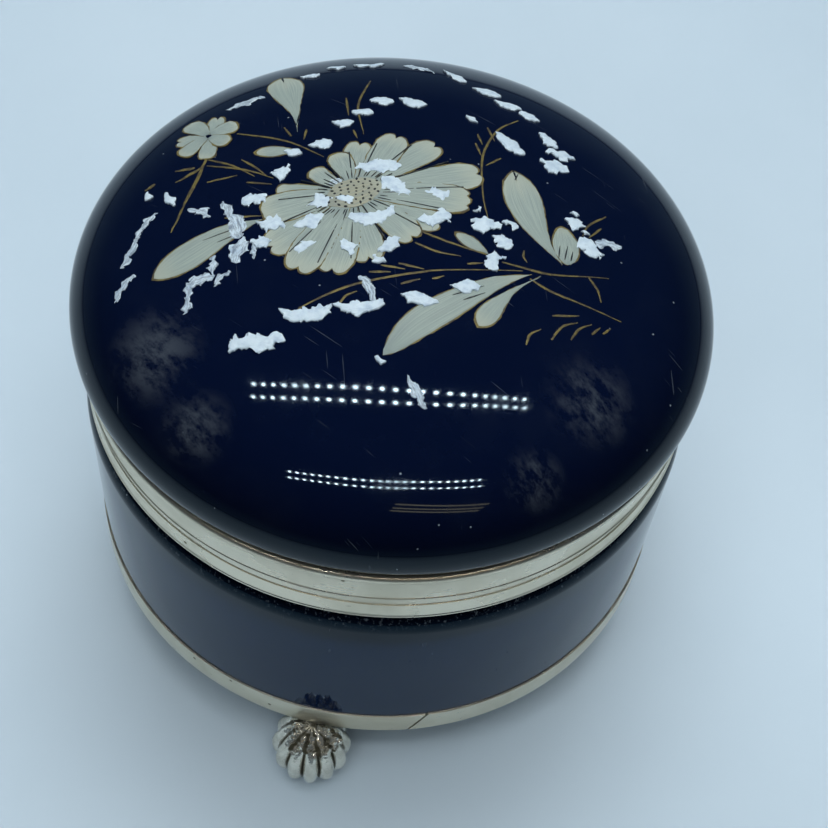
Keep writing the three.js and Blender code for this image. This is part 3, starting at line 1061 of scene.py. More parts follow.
@dataclass
class BallFoot:
    """One ribbed cast foot with its ragged collar, and the rivet that holds it."""

    number: int
    angle: float
    ring_radius: float = 52.9
    radius: float = 7.1
    half_height: float = 7.5
    centre_z: float = 6.9
    lobes: int = 12
    lobe_turn: float = 12.0
    groove: float = 0.24
    seat_z: float = 14.3

    def bun(self) -> bpy.types.Object:
        """The ribbed ball, made about its own centre line."""
        clear_selection()
        bpy.ops.mesh.primitive_uv_sphere_add(segments=self.lobes * 12, ring_count=48, radius=1.0)
        bun = christen(f"foot_bun_{self.number}")

        def rib(place: Vector) -> Vector:
            around = math.atan2(place.y, place.x) - math.radians(self.lobe_turn)
            swell = abs(math.cos(around * self.lobes / 2)) ** 0.65
            fade = min(1.0, (1.0 - abs(place.z)) * 2.2)
            reach = self.radius * (1 - self.groove * (1 - swell) * fade)
            squash = math.copysign(abs(place.z) ** 1.12, place.z)
            z = self.centre_z + squash * self.half_height * (1 - 0.05 * (1 - swell) * fade)
            out = place.to_2d()
            out = out * (1.0 + 0.10 * (1 - abs(place.z)) * abs(place.z)) * reach
            return Vector((out.x, out.y, min(max(z, 0.0), self.seat_z))) * MM

        displace(bun, rib)
        return bun

    def ragged_collar(self, rng: random.Random) -> list[bpy.types.Object]:
        """Leafy crumbs where the ball meets the band."""
        crumbs = []
        for i in range(15):
            spot = math.radians(-84 + i * 12 + rng.uniform(-5, 5))
            far = rng.uniform(1.4, 4.9)
            clear_selection()
            bpy.ops.mesh.primitive_uv_sphere_add(segments=14, ring_count=9, radius=1.0)
            crumb = christen(f"crumb_{self.number}_{i}")
            size = Vector((rng.uniform(0.8, 1.5), rng.uniform(0.7, 1.2), rng.uniform(0.6, 1.0)))
            crown = self.centre_z + self.half_height * math.sqrt(1 - (far / self.radius) ** 2)
            middle = Vector((math.cos(spot) * far, math.sin(spot) * far, crown - rng.uniform(0.1, 0.6)))
            seed = Vector((i * 3.1, self.number, 0))

            def lump(place: Vector, size: Vector = size, middle: Vector = middle, seed: Vector = seed) -> Vector:
                rough = 1 + 0.7 * noise.noise(place * 2.2 + seed)
                moved = Vector((place.x * size.x, place.y * size.y, place.z * size.z)) * rough
                return (moved + middle) * MM

            displace(crumb, lump)
            crumbs.append(crumb)
        return crumbs

    def leaf_tab(self) -> bpy.types.Object:
        """The small leaf that laps up the band's lower edge."""
        clear_selection()
        bpy.ops.mesh.primitive_grid_add(x_subdivisions=16, y_subdivisions=10, size=1.0)
        tab = christen(f"leaf_tab_{self.number}")
        reach_out = 52.6 + 0.22 - self.ring_radius

        def shape(place: Vector) -> Vector:
            across = place.x * 2
            up = place.y + 0.5
            half = 3.3 * (1 - 0.55 * up) * (1 + 0.12 * math.sin(up * 9))
            side = across * half + 2.0
            z = 12.4 + up * (3.2 - 1.6 * across * across)
            bulge = 0.55 * (1 - across * across) * (1 - up * 0.6)
            crease = 0.12 * math.cos(across * 14)
            return Vector((reach_out + bulge + crease, side, z)) * MM

        displace(tab, shape)
        modify(tab, "SOLIDIFY", thickness=0.35 * MM, offset=1.0)
        return tab

    def casting(self) -> bpy.types.Object:
        """The whole casting in its place under the band."""
        rng = random.Random(40 + self.number)
        parts = [self.bun(), *self.ragged_collar(rng), self.leaf_tab()]
        foot = join(parts, f"ball_foot_{self.number}")
        close_up(foot)
        # Store each place's depth in a groove or under the collar, which the casting's painted shade reads.
        hollow = foot.data.attributes.new("hollow", "FLOAT", "POINT")
        for vertex, store in zip(foot.data.vertices, hollow.data):
            store.value = self.shadow(vertex.co / MM)
        turn = Matrix.Rotation(math.radians(self.angle), 4, "Z")
        foot.data.transform(turn @ Matrix.Translation((self.ring_radius * MM, 0, 0)))
        return foot

    def shadow(self, place: Vector) -> float:
        """How deep a place sits in a groove or under the collar, which sets the casting's painted shade.

        Args:
            place: The place about the foot's centre line, in millimetres.

        Returns:
            0 on a high place, 1 in a hollow.
        """
        around = math.atan2(place.y, place.x) - math.radians(self.lobe_turn)
        groove = 1 - abs(math.cos(around * self.lobes / 2))
        under_collar = max(0.0, min(0.45, (place.z - 11.4) / 4.0))
        patchy = 1.0 + 1.6 * noise.noise(place * 1.1)
        return min(1.0, groove ** 2 * 1.1 + under_collar * patchy)

    def rivet(self) -> bpy.types.Object:
        """The rivet with its domed head inside the bowl's bed."""
        low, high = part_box(f"foot_rivet_{self.number}")
        radius, head, rise = 0.8, 1.5, 0.8
        face = high.z / MM - rise
        section = [
            (0.0, low.z / MM),
            (radius - 0.15, low.z / MM),
            (radius, low.z / MM + 0.15),
            (radius, face),
            *arc((0, face), (head, rise), 0, 88, 10),
            (0.0, high.z / MM),
        ]
        centre = (low + high) / 2
        rivet = turned(f"rivet_{self.number}", section, steps=32)
        rivet.data.transform(Matrix.Translation((centre.x, centre.y, 0)))
        return rivet

    def build(self, material: bpy.types.Material) -> None:
        """Build and dress the foot and its rivet.

        Args:
            material: The casting's finish.
        """
        foot = self.casting()
        smooth(foot, 48)
        dress(foot, material)
        report(foot, "base", "cast_gilt", f"foot_{self.number}")
        rivet = self.rivet()
        smooth(rivet)
        dress(rivet, material)
        report(rivet, "base", "cast_gilt", f"foot_rivet_{self.number}")


# ------------------------------------------------------------------ hinge


class Side(Enum):
    """The leaf's side of the hinge axis: -1 is the bowl's, 1 the lid's."""

    BOWL = -1
    LID = 1


@dataclass
class Hinge:
    """The five-knuckle hinge behind the box."""

    width: float = 20.0
    knuckles: int = 5
    gap: float = 0.3
    knuckle: float = 2.4
    bore: float = 1.15
    pin: float = 1.0
    leaf_radius: float = 52.3
    leaf_wall: float = 0.65
    leaf_clear: float = 1.0
    leaf_height: float = 3.8

    def axis(self) -> Vector:
        """A point on the hinge axis, in metres."""
        low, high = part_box("hinge_pin")
        return (low + high) / 2

    def knuckle_tube(self, number: int) -> bpy.types.Object:
        """One rolled knuckle with softened ends."""
        length = (self.width - (self.knuckles - 1) * self.gap) / self.knuckles
        start = -self.width / 2 + number * (length + self.gap)
        end = start + length
        soft = 0.25
        section = [
            (self.bore, start),
            *arc((self.knuckle - soft, start + soft), (soft, soft), -90, 0, 4),
            *arc((self.knuckle - soft, end - soft), (soft, soft), 0, 90, 4),
            (self.bore, end),
        ]
        return ring(f"knuckle_{number}", section, spindle=Spindle.HINGE, middle=self.axis(), steps=48)

    def plate(self, side: Side, numbers: Sequence[int]) -> bpy.types.Object:
        """The curved leaf and the webs that carry its knuckles.

        Args:
            side: Which leaf.
            numbers: The knuckles that it carries.

        Returns:
            The plate with its webs.
        """
        axis = self.axis() / MM
        near = axis.z + side.value * self.leaf_clear
        clear_selection()
        bpy.ops.mesh.primitive_grid_add(x_subdivisions=40, y_subdivisions=8, size=1.0)
        plate = christen(f"plate_{side.name.lower()}")

        def bend(place: Vector) -> Vector:
            x = place.x * self.width
            z = near + side.value * (place.y + 0.5) * self.leaf_height
            y = math.sqrt(self.leaf_radius ** 2 - x * x)
            return Vector((x, y, z)) * MM

        displace(plate, bend)
        close_up(plate)
        modify(plate, "SOLIDIFY", thickness=self.leaf_wall * MM, offset=-side.value)
        modify(plate, "BEVEL", width=0.15 * MM, segments=2, limit_method="ANGLE")
        webs = [self.web(side, number, axis) for number in numbers]
        return join([plate, *webs], plate.name)

    def web(self, side: Side, number: int, axis: Vector) -> bpy.types.Object:
        """The strap from the leaf's edge to one knuckle."""
        length = (self.width - (self.knuckles - 1) * self.gap) / self.knuckles
        middle = -self.width / 2 + number * (length + self.gap) + length / 2
        depth = axis.y - 52.6
        clear_selection()
        bpy.ops.mesh.primitive_cube_add(size=1.0)
        web = christen(f"web_{number}")

        def shape(place: Vector) -> Vector:
            back = place.y + 0.5
            x = middle + place.x * (length - 0.3)
            y = 52.45 + back * depth * 0.8
            top = self.leaf_clear + 0.9 if back < 0.5 else 2.2
            low = 0.15 if back < 0.5 else 1.1
            z = axis.z + side.value * (low + (place.z + 0.5) * (top - low))
            return Vector((x, y, z)) * MM

        displace(web, shape)
        close_up(web)
        modify(web, "BEVEL", width=0.18 * MM, segments=3, limit_method="NONE")
        return web

    def pin_rod(self) -> bpy.types.Object:
        """The pin with domed ends."""
        low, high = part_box("hinge_pin")
        start, end = low.x / MM, high.x / MM
        section = [
            (0.0, start),
            *arc((0.0, start + 0.5), (self.pin, 0.5), -86, 0, 6),
            *arc((0.0, end - 0.5), (self.pin, 0.5), 0, 86, 6),
            (0.0, end),
        ]
        return turned("pin_rod", section, Spindle.HINGE, self.axis(), 32)

    def build(self) -> None:
        """Build and dress the hinge."""
        brass = SheetBrass(
            name="hinge_brass", bright=rgb(0.66, 0.56, 0.36), dull=rgb(0.46, 0.38, 0.22), roughness=0.30
        ).make()
        plan = (
            (Side.BOWL, (0, 2, 4), "base", "hinge_leaf_body"),
            (Side.LID, (1, 3), "lid", "hinge_leaf_lid"),
        )
        for side, numbers, body, node in plan:
            tubes = [self.knuckle_tube(number) for number in numbers]
            leaf = join([self.plate(side, numbers), *tubes], f"hinge_{side.name.lower()}_leaf")
            smooth(leaf)
            dress(leaf, brass)
            report(leaf, body, "hinge_brass", node)
        pin = self.pin_rod()
        smooth(pin)
        dress(pin, brass)
        report(pin, "base", "hinge_brass", "hinge_pin")


# ------------------------------------------------------------------ painting on the lid


@dataclass(frozen=True)
class Route:
    """A smooth line in plan through a few points, in millimetres."""

    points: tuple[Point, ...]

    def at(self, share: float) -> Vector:
        """The place at a share of the way, on a Catmull-Rom curve.

        Args:
            share: 0 at the first point, 1 at the last.

        Returns:
            The place in plan.
        """
        last = len(self.points) - 1
        along = min(max(share, 0.0), 1.0) * last
        i = min(int(along), last - 1)
        t = along - i
        dots = [Vector(p) for p in self.points]
        before = dots[i - 1] if i > 0 else dots[0] * 2 - dots[1]
        after = dots[i + 2] if i + 2 <= last else dots[last] * 2 - dots[last - 1]
        a, b = dots[i], dots[i + 1]
        return 0.5 * (
            2 * a + (b - before) * t + (2 * before - 5 * a + 4 * b - after) * t * t
            + (3 * a - before - 3 * b + after) * t * t * t
        )

    def side(self, share: float) -> Vector:
        """The unit vector to the left of the line."""
        ahead = self.at(min(1.0, share + 0.01)) - self.at(max(0.0, share - 0.01))
        return Vector((-ahead.y, ahead.x)).normalized()

    def length(self) -> float:
        """Length of the straight stretches between the points."""
        return sum((Vector(b) - Vector(a)).length for a, b in zip(self.points, self.points[1:]))


Width = Callable[[float], float]


@dataclass
class Brush:
    """Lays strokes of paint on the dome, each as a thin closed solid."""

    glass: LidGlass
    laid: int = 0

    def stroke(
        self,
        route: Route,
        half_width: Width,
        lift: float,
        rise: float = 0.0,
        tip: Callable[[float], float] = lambda across: 0.0,
        grid: tuple[int, int] = (16, 6),
        shake: float = 0.0,
    ) -> bpy.types.Object:
        """Lay one stroke.

        Args:
            route: The stroke's middle line.
            half_width: Half the width at a share of the way, in millimetres.
            lift: Height of its edges over the glass, in millimetres.
            rise: How much more its middle stands up.
            tip: How far each strand, from -1 to 1 across, stops short of the end, in millimetres.
            grid: Faces along and across.
            shake: Unevenness of the outline, in millimetres.

        Returns:
            The stroke as a closed mesh with a map running along it.
        """
        self.laid += 1
        clear_selection()
        bpy.ops.mesh.primitive_grid_add(x_subdivisions=grid[0], y_subdivisions=grid[1], size=1.0)
        mark = christen(f"stroke_{self.laid}")
        bpy.ops.object.mode_set(mode="EDIT")
        bpy.ops.mesh.select_all(action="SELECT")
        bpy.ops.mesh.extrude_region_move(TRANSFORM_OT_translate={"value": (0, 0, 1)})
        bpy.ops.mesh.select_all(action="SELECT")
        bpy.ops.mesh.normals_make_consistent(inside=False)
        bpy.ops.object.mode_set(mode="OBJECT")
        reach = max(route.length(), 0.01)
        seed = Vector((self.laid * 7.3, 0, 0))

        def place_on_glass(place: Vector) -> Vector:
            across = place.y * 2
            share = (place.x + 0.5) * (1 - tip(across) / reach)
            spot = route.at(share) + route.side(share) * half_width(share) * across
            if shake > 0:
                edge = max(abs(across), abs(place.x * 2)) ** 2
                flat = Vector((spot.x, spot.y, 0))
                push = noise.noise_vector(flat * 0.9 + seed) + noise.noise_vector(flat * 2.6 + seed) * 0.55
                spot = spot + push.to_2d() * shake * edge
            crown = rise * math.sqrt(max(0.0, (1 - across ** 2) * (1 - (place.x * 2) ** 4)))
            if rise > 0:
                crown *= 1 + 0.45 * noise.noise(Vector((spot.x, spot.y, 0)) * 1.4 + seed)
            height = lift + crown if place.z > 0.5 else -0.04
            return Vector((spot.x, spot.y, self.glass.height(spot.x, spot.y) + height)) * MM

        displace(mark, place_on_glass)
        for corner in mark.data.uv_layers.active.data:
            corner.uv.x += self.laid
            corner.uv.y += self.laid * 0.37
        return mark


def lens(half: float, widest: float = 0.5, blunt: float = 0.5) -> Width:
    """A width that swells from nothing and closes again.

    Args:
        half: Greatest half-width in millimetres.
        widest: Where it is widest.
        blunt: Below 0.5 gives blunter ends, above gives sharper ones.

    Returns:
        Half-width at a share of the way.
    """
    power = math.log(0.5) / math.log(widest)
    return lambda share: 0.03 + half * math.sin(math.pi * min(1, max(0, share)) ** power) ** (2 * blunt)


def ribbon(half: float, start: float = 0.6, end: float = 0.35) -> Width:
    """A brush line that thins towards its ends.

    Args:
        half: Half-width in millimetres.
        start: Share of it at the start.
        end: Share of it at the end.

    Returns:
        Half-width at a share of the way.
    """
    return lambda share: half * (start + (1 - start) * min(1, share * 4)) * (1 - (1 - end) * max(0, share * 2 - 1))


def lobed(count: int, depth: float, corner: float) -> Callable[[float], float]:
    """A petal's end with one or more lobes.

    Args:
        count: Number of lobes.
        depth: Depth of the notches between them, in millimetres.
        corner: How far the sides stop short, in millimetres.

    Returns:
        How far a strand stops short of the end.
    """

    def short(across: float) -> float:
        notch = depth * (1 - abs(math.cos(math.pi * count * (across + 1) / 2 - math.pi * count / 2 + (
            math.pi / 2 if count % 2 == 0 else 0)))) ** 2 if count > 1 else 0.0
        return notch + corner * abs(across) ** 3.2

    return short


@dataclass(frozen=True)
class Petal:
    """One petal: its tip in plan, half-width and number of lobes at its end."""

    x: float
    y: float
    half: float
    lobes: int


@dataclass(frozen=True)
class Leaf:
    """One leaf or bud: its middle line, half-width and where it is widest."""

    route: Route
    half: float
    widest: float
    blunt: float = 0.4
    lobes: int = 1


class Touch(Enum):
    """How a touch of white enamel was set down."""

    DROP = "drop"
    CLOUD = "cloud"
    HOOK = "hook"
    STREAK = "streak"


@dataclass(frozen=True)
class Dab:
    """One touch of white enamel: place, length, width, turn in degrees and manner."""

    x: float
    y: float
    length: float
    width: float
    turn: float
    touch: Touch


def way(*points: Point) -> Route:
    """A route through the given points."""
    return Route(tuple(points))


FLOWER = (
    Petal(-21.0, 3.0, 1.15, 1), Petal(-16.5, 8.5, 1.6, 1), Petal(-13.6, 13.0, 1.9, 1),
    Petal(-10.4, 16.8, 2.3, 2), Petal(-4.8, 20.0, 2.6, 2), Petal(2.0, 19.6, 2.5, 2),
    Petal(10.2, 15.0, 3.0, 2), Petal(9.8, 8.0, 3.0, 3), Petal(6.2, 1.8, 2.6, 2),
    Petal(2.8, -2.6, 2.6, 2), Petal(-3.0, -8.6, 2.9, 2), Petal(-8.4, -12.2, 2.9, 2),
    Petal(-13.8, -13.0, 2.9, 2), Petal(-19.2, -9.4, 3.0, 2), Petal(-22.0, -2.4, 3.1, 1),
)
LITTLE_FLOWER = (
    Petal(-36.2, 21.0, 1.5, 2), Petal(-32.0, 18.4, 1.7, 1), Petal(-32.2, 13.8, 1.5, 1),
    Petal(-35.0, 9.4, 1.4, 1), Petal(-39.2, 10.2, 1.5, 1), Petal(-41.4, 14.2, 1.6, 2),
    Petal(-41.0, 19.2, 1.7, 1),
)
LEAVES = (
    Leaf(way((-21.8, -3.6), (-26.5, -7.0), (-31.5, -12.2), (-35.8, -16.6)), 2.6, 0.66, 0.32),
    Leaf(way((-21.4, 17.6), (-23.0, 22.5), (-25.6, 28.0), (-28.4, 34.4)), 3.0, 0.82, 0.28, 2),
    Leaf(way((-19.2, 12.6), (-23.0, 12.2), (-26.8, 11.4)), 1.2, 0.68, 0.30),
    Leaf(way((26.4, 0.3), (22.6, 4.0), (19.0, 9.6), (15.4, 17.6)), 3.0, 0.76, 0.30, 2),
    Leaf(way((27.2, 0.6), (26.4, 4.2), (25.0, 8.0)), 2.1, 0.50, 0.30),
    Leaf(way((14.6, -1.9), (12.0, -0.8), (9.0, 0.5)), 1.0, 0.62, 0.30),
    Leaf(way((2.8, -24.8), (6.4, -18.6), (11.2, -13.0), (16.6, -7.4), (21.6, -3.8)), 2.4, 0.36, 0.55),
    Leaf(way((23.4, -3.4), (19.6, -8.0), (17.4, -12.0), (15.8, -15.8)), 1.6, 0.78, 0.34),
)
STALKS = (
    way((-31.4, 16.1), (-22.7, 14.9), (-15.5, 12.0)),
    way((-34.4, 9.1), (-29.8, 7.8), (-25.5, 5.6)),
    way((-34.2, 7.6), (-27.5, 7.0), (-22.4, 5.6)),
    way((-28.8, 9.4), (-26.0, 7.8), (-23.3, 5.8)),
    way((-26.5, 4.1), (-22.2, 4.2)),
    way((-33.0, 3.6), (-28.4, 5.6)),
    way((13.9, 32.0), (11.0, 27.4), (9.8, 19.6), (11.4, 10.6), (13.2, 5.4)),
    way((9.2, 27.6), (11.0, 24.2)),
    way((7.9, 25.0), (9.2, 22.5)),
    way((8.0, 22.5), (9.4, 19.7)),
    way((12.8, 20.2), (10.7, 17.4)),
    way((-12.8, 35.4), (-13.1, 27.0), (-10.4, 19.1)),
    way((-15.6, 28.7), (-14.0, 23.6)),
    way((-12.3, 19.8), (-11.2, 17.8)),
    way((-22.1, 16.3), (-23.9, 18.5)),
    way((-20.0, 18.5), (-19.8, 15.7)),
    way((3.0, -0.6), (8.4, -1.6), (14.4, -2.2)),
    way((3.0, -3.2), (6.7, -4.0), (10.6, -3.8)),
    way((-11.7, -19.7), (-7.6, -15.9), (-2.9, -12.7), (5.3, -8.6), (9.9, -6.8), (20.5, -3.4)),
    way((17.0, -2.8), (22.2, -2.7), (25.9, -2.1), (34.1, 0.9)),
    way((21.9, -4.5), (25.2, -5.6), (29.5, -6.0), (37.3, -6.5)),
    way((30.8, -0.3), (32.6, -2.2), (33.6, -4.4)),
    way((26.5, -10.1), (30.6, -8.4)),
    way((23.5, -16.7), (23.8, -14.6), (25.3, -13.1)),
    way((27.1, -14.4), (28.4, -11.4), (30.6, -9.7)),
    way((30.1, -13.2), (31.0, -10.8), (32.8, -9.1)),
    way((33.1, -10.9), (34.2, -9.1)),
    way((34.8, -10.0), (35.9, -8.5)),
    way((-1.2, -9.0), (2.6, -8.8)),
    way((1.4, -7.9), (5.5, -8.0)),
    way((-2.7, -10.7), (0.6, -9.9)),
    way((2.6, -11.7), (5.3, -10.0)),
    way((7.1, -9.5), (8.8, -8.4)),
    way((11.8, -5.0), (14.2, -4.0)),
    way((-5.9, -18.1), (-5.2, -16.0), (-3.7, -14.7)),
    way((31.8, 14.1), (29.3, 10.6), (28.6, 7.8)),
    way((31.4, 10.9), (29.7, 7.9)),
    way((20.0, 0.8), (20.1, -0.5), (20.9, -1.5)),
    way((-27.8, -4.1), (-22.1, -2.9)),
    way((-24.4, -5.4), (-21.6, -3.7)),
)
BARK = (
    way((-34.8, 9.4), (-34.9, 4.2), (-35.3, -1.5), (-35.7, -7.6)),
    way((-35.2, 6.9), (-38.3, 3.6)),
    way((-36.1, 7.1), (-39.3, 6.3)),
    way((-41.9, 3.5), (-43.3, 2.0)),
)
FOLDS = (
    way((-22.0, 19.0), (-22.4, 24.0)),
    way((25.6, 1.6), (25.4, 4.0)),
    way((26.6, 1.4), (26.6, 4.4)),
    way((27.6, 1.6), (27.6, 3.6)),
    way((15.9, 15.6), (16.2, 17.4)),
    way((-24.6, -5.6), (-30.0, -9.0)),
    way((-24.0, -6.6), (-27.6, -9.2)),
    way((10.8, -11.6), (15.2, -8.4)),
    way((12.6, -12.0), (15.6, -9.6)),
)
ENAMEL = (
    Dab(-21.4, 7.0, 3.4, 2.6, 70, Touch.CLOUD), Dab(-24.0, 0.5, 3.4, 2.9, 10, Touch.CLOUD),
    Dab(-16.6, 15.2, 4.2, 2.5, 20, Touch.DROP), Dab(-14.5, 21.4, 3.7, 2.4, 14, Touch.DROP),
    Dab(-11.8, 25.2, 3.7, 2.5, 14, Touch.DROP), Dab(-9.6, 29.4, 4.3, 2.6, 8, Touch.DROP),
    Dab(-4.4, 30.4, 5.0, 2.8, -12, Touch.DROP), Dab(-32.5, 25.4, 6.6, 1.5, 38, Touch.STREAK),
    Dab(-23.6, 35.4, 3.8, 1.3, 18, Touch.DROP), Dab(-19.8, 39.2, 3.6, 1.3, 20, Touch.DROP),
    Dab(-14.6, 41.4, 5.7, 1.4, 20, Touch.HOOK), Dab(-5.3, 42.8, 6.2, 1.6, -12, Touch.STREAK),
    Dab(1.0, 42.2, 5.6, 1.8, -32, Touch.DROP), Dab(7.4, 38.8, 5.2, 2.3, -14, Touch.DROP),
    Dab(11.4, 36.0, 5.0, 2.5, -8, Touch.DROP), Dab(15.7, 34.4, 4.0, 2.4, -30, Touch.DROP),
    Dab(19.6, 28.8, 4.8, 2.4, -38, Touch.DROP), Dab(22.0, 25.6, 5.2, 2.2, -14, Touch.CLOUD),
    Dab(21.6, 22.2, 4.0, 2.7, -8, Touch.CLOUD), Dab(6.4, 28.8, 2.8, 0.9, -30, Touch.DROP),
    Dab(13.6, 24.6, 7.0, 2.9, -38, Touch.DROP), Dab(13.0, 3.7, 4.6, 2.6, 0, Touch.CLOUD),
    Dab(16.4, 1.6, 3.6, 3.0, 20, Touch.CLOUD), Dab(15.4, -2.8, 3.5, 3.4, 60, Touch.CLOUD),
    Dab(16.6, 5.4, 1.6, 1.2, 0, Touch.CLOUD), Dab(11.5, 6.6, 1.2, 1.0, 40, Touch.CLOUD),
    Dab(27.1, 9.8, 2.9, 2.5, 10, Touch.CLOUD), Dab(26.6, 12.1, 1.4, 0.9, 0, Touch.DROP),
    Dab(28.8, 8.6, 1.4, 0.9, 0, Touch.DROP), Dab(30.2, 5.8, 5.0, 2.6, -20, Touch.CLOUD),
    Dab(33.2, 7.8, 4.6, 1.8, 12, Touch.STREAK), Dab(-20.8, 12.2, 2.9, 1.7, 10, Touch.DROP),
    Dab(-12.2, 6.0, 3.4, 2.6, 10, Touch.STREAK), Dab(-9.9, 3.1, 3.8, 2.4, 4, Touch.DROP),
    Dab(-13.5, 2.0, 3.0, 2.7, 30, Touch.CLOUD), Dab(-14.2, -2.7, 5.2, 3.0, 34, Touch.DROP),
    Dab(-20.0, -4.1, 4.1, 2.7, 4, Touch.CLOUD), Dab(-4.8, 0.2, 7.6, 2.8, 24, Touch.HOOK),
    Dab(-2.4, 7.7, 5.4, 2.9, -28, Touch.CLOUD), Dab(-6.4, 11.6, 6.8, 3.0, 20, Touch.CLOUD),
    Dab(-13.8, -7.9, 2.9, 2.0, 40, Touch.CLOUD), Dab(-7.4, -6.6, 3.2, 1.9, 0, Touch.CLOUD),
    Dab(-20.7, -8.3, 2.7, 2.1, 10, Touch.CLOUD), Dab(-1.5, -7.9, 2.5, 1.0, 0, Touch.CLOUD),
    Dab(-0.9, -4.7, 4.8, 2.4, 52, Touch.DROP), Dab(4.4, 8.3, 3.4, 2.2, 0, Touch.CLOUD),
    Dab(5.3, 3.0, 5.2, 3.0, 44, Touch.CLOUD), Dab(6.0, -13.6, 6.2, 2.6, 0, Touch.DROP),
    Dab(12.3, -9.4, 5.0, 2.8, 14, Touch.DROP), Dab(-2.6, -17.3, 7.8, 2.3, 18, Touch.HOOK),
    Dab(-10.5, -20.2, 8.0, 2.6, 16, Touch.HOOK), Dab(-16.4, -26.3, 7.6, 3.1, 14, Touch.CLOUD),
    Dab(-20.0, -27.4, 3.2, 1.4, 80, Touch.DROP), Dab(-2.4, -13.8, 5.0, 1.8, -50, Touch.STREAK),
    Dab(2.6, -25.8, 1.8, 1.3, -20, Touch.DROP), Dab(8.9, -29.6, 5.4, 1.9, -50, Touch.STREAK),
    Dab(-40.6, -5.8, 5.4, 1.2, 68, Touch.STREAK), Dab(-41.4, -11.6, 6.4, 1.5, 80, Touch.STREAK),
    Dab(-40.4, -18.6, 5.4, 1.1, 74, Touch.STREAK), Dab(-28.0, -2.2, 4.0, 1.5, -58, Touch.STREAK),
    Dab(-25.8, -5.6, 5.2, 3.0, -62, Touch.STREAK), Dab(-23.6, -10.4, 5.2, 3.0, 78, Touch.STREAK),
    Dab(-27.0, -13.8, 3.8, 1.3, -80, Touch.STREAK), Dab(-28.2, -16.8, 4.6, 2.0, 30, Touch.STREAK),
    Dab(-29.4, -20.4, 5.2, 1.4, -75, Touch.STREAK), Dab(-25.0, -16.0, 3.4, 1.1, 60, Touch.STREAK),
    Dab(-42.2, 0.6, 2.6, 1.3, -60, Touch.DROP), Dab(-38.0, -0.4, 3.9, 1.5, -46, Touch.DROP),
    Dab(-32.2, -3.2, 4.4, 1.4, -20, Touch.STREAK), Dab(-21.2, -10.4, 2.8, 0.8, -70, Touch.STREAK),
)


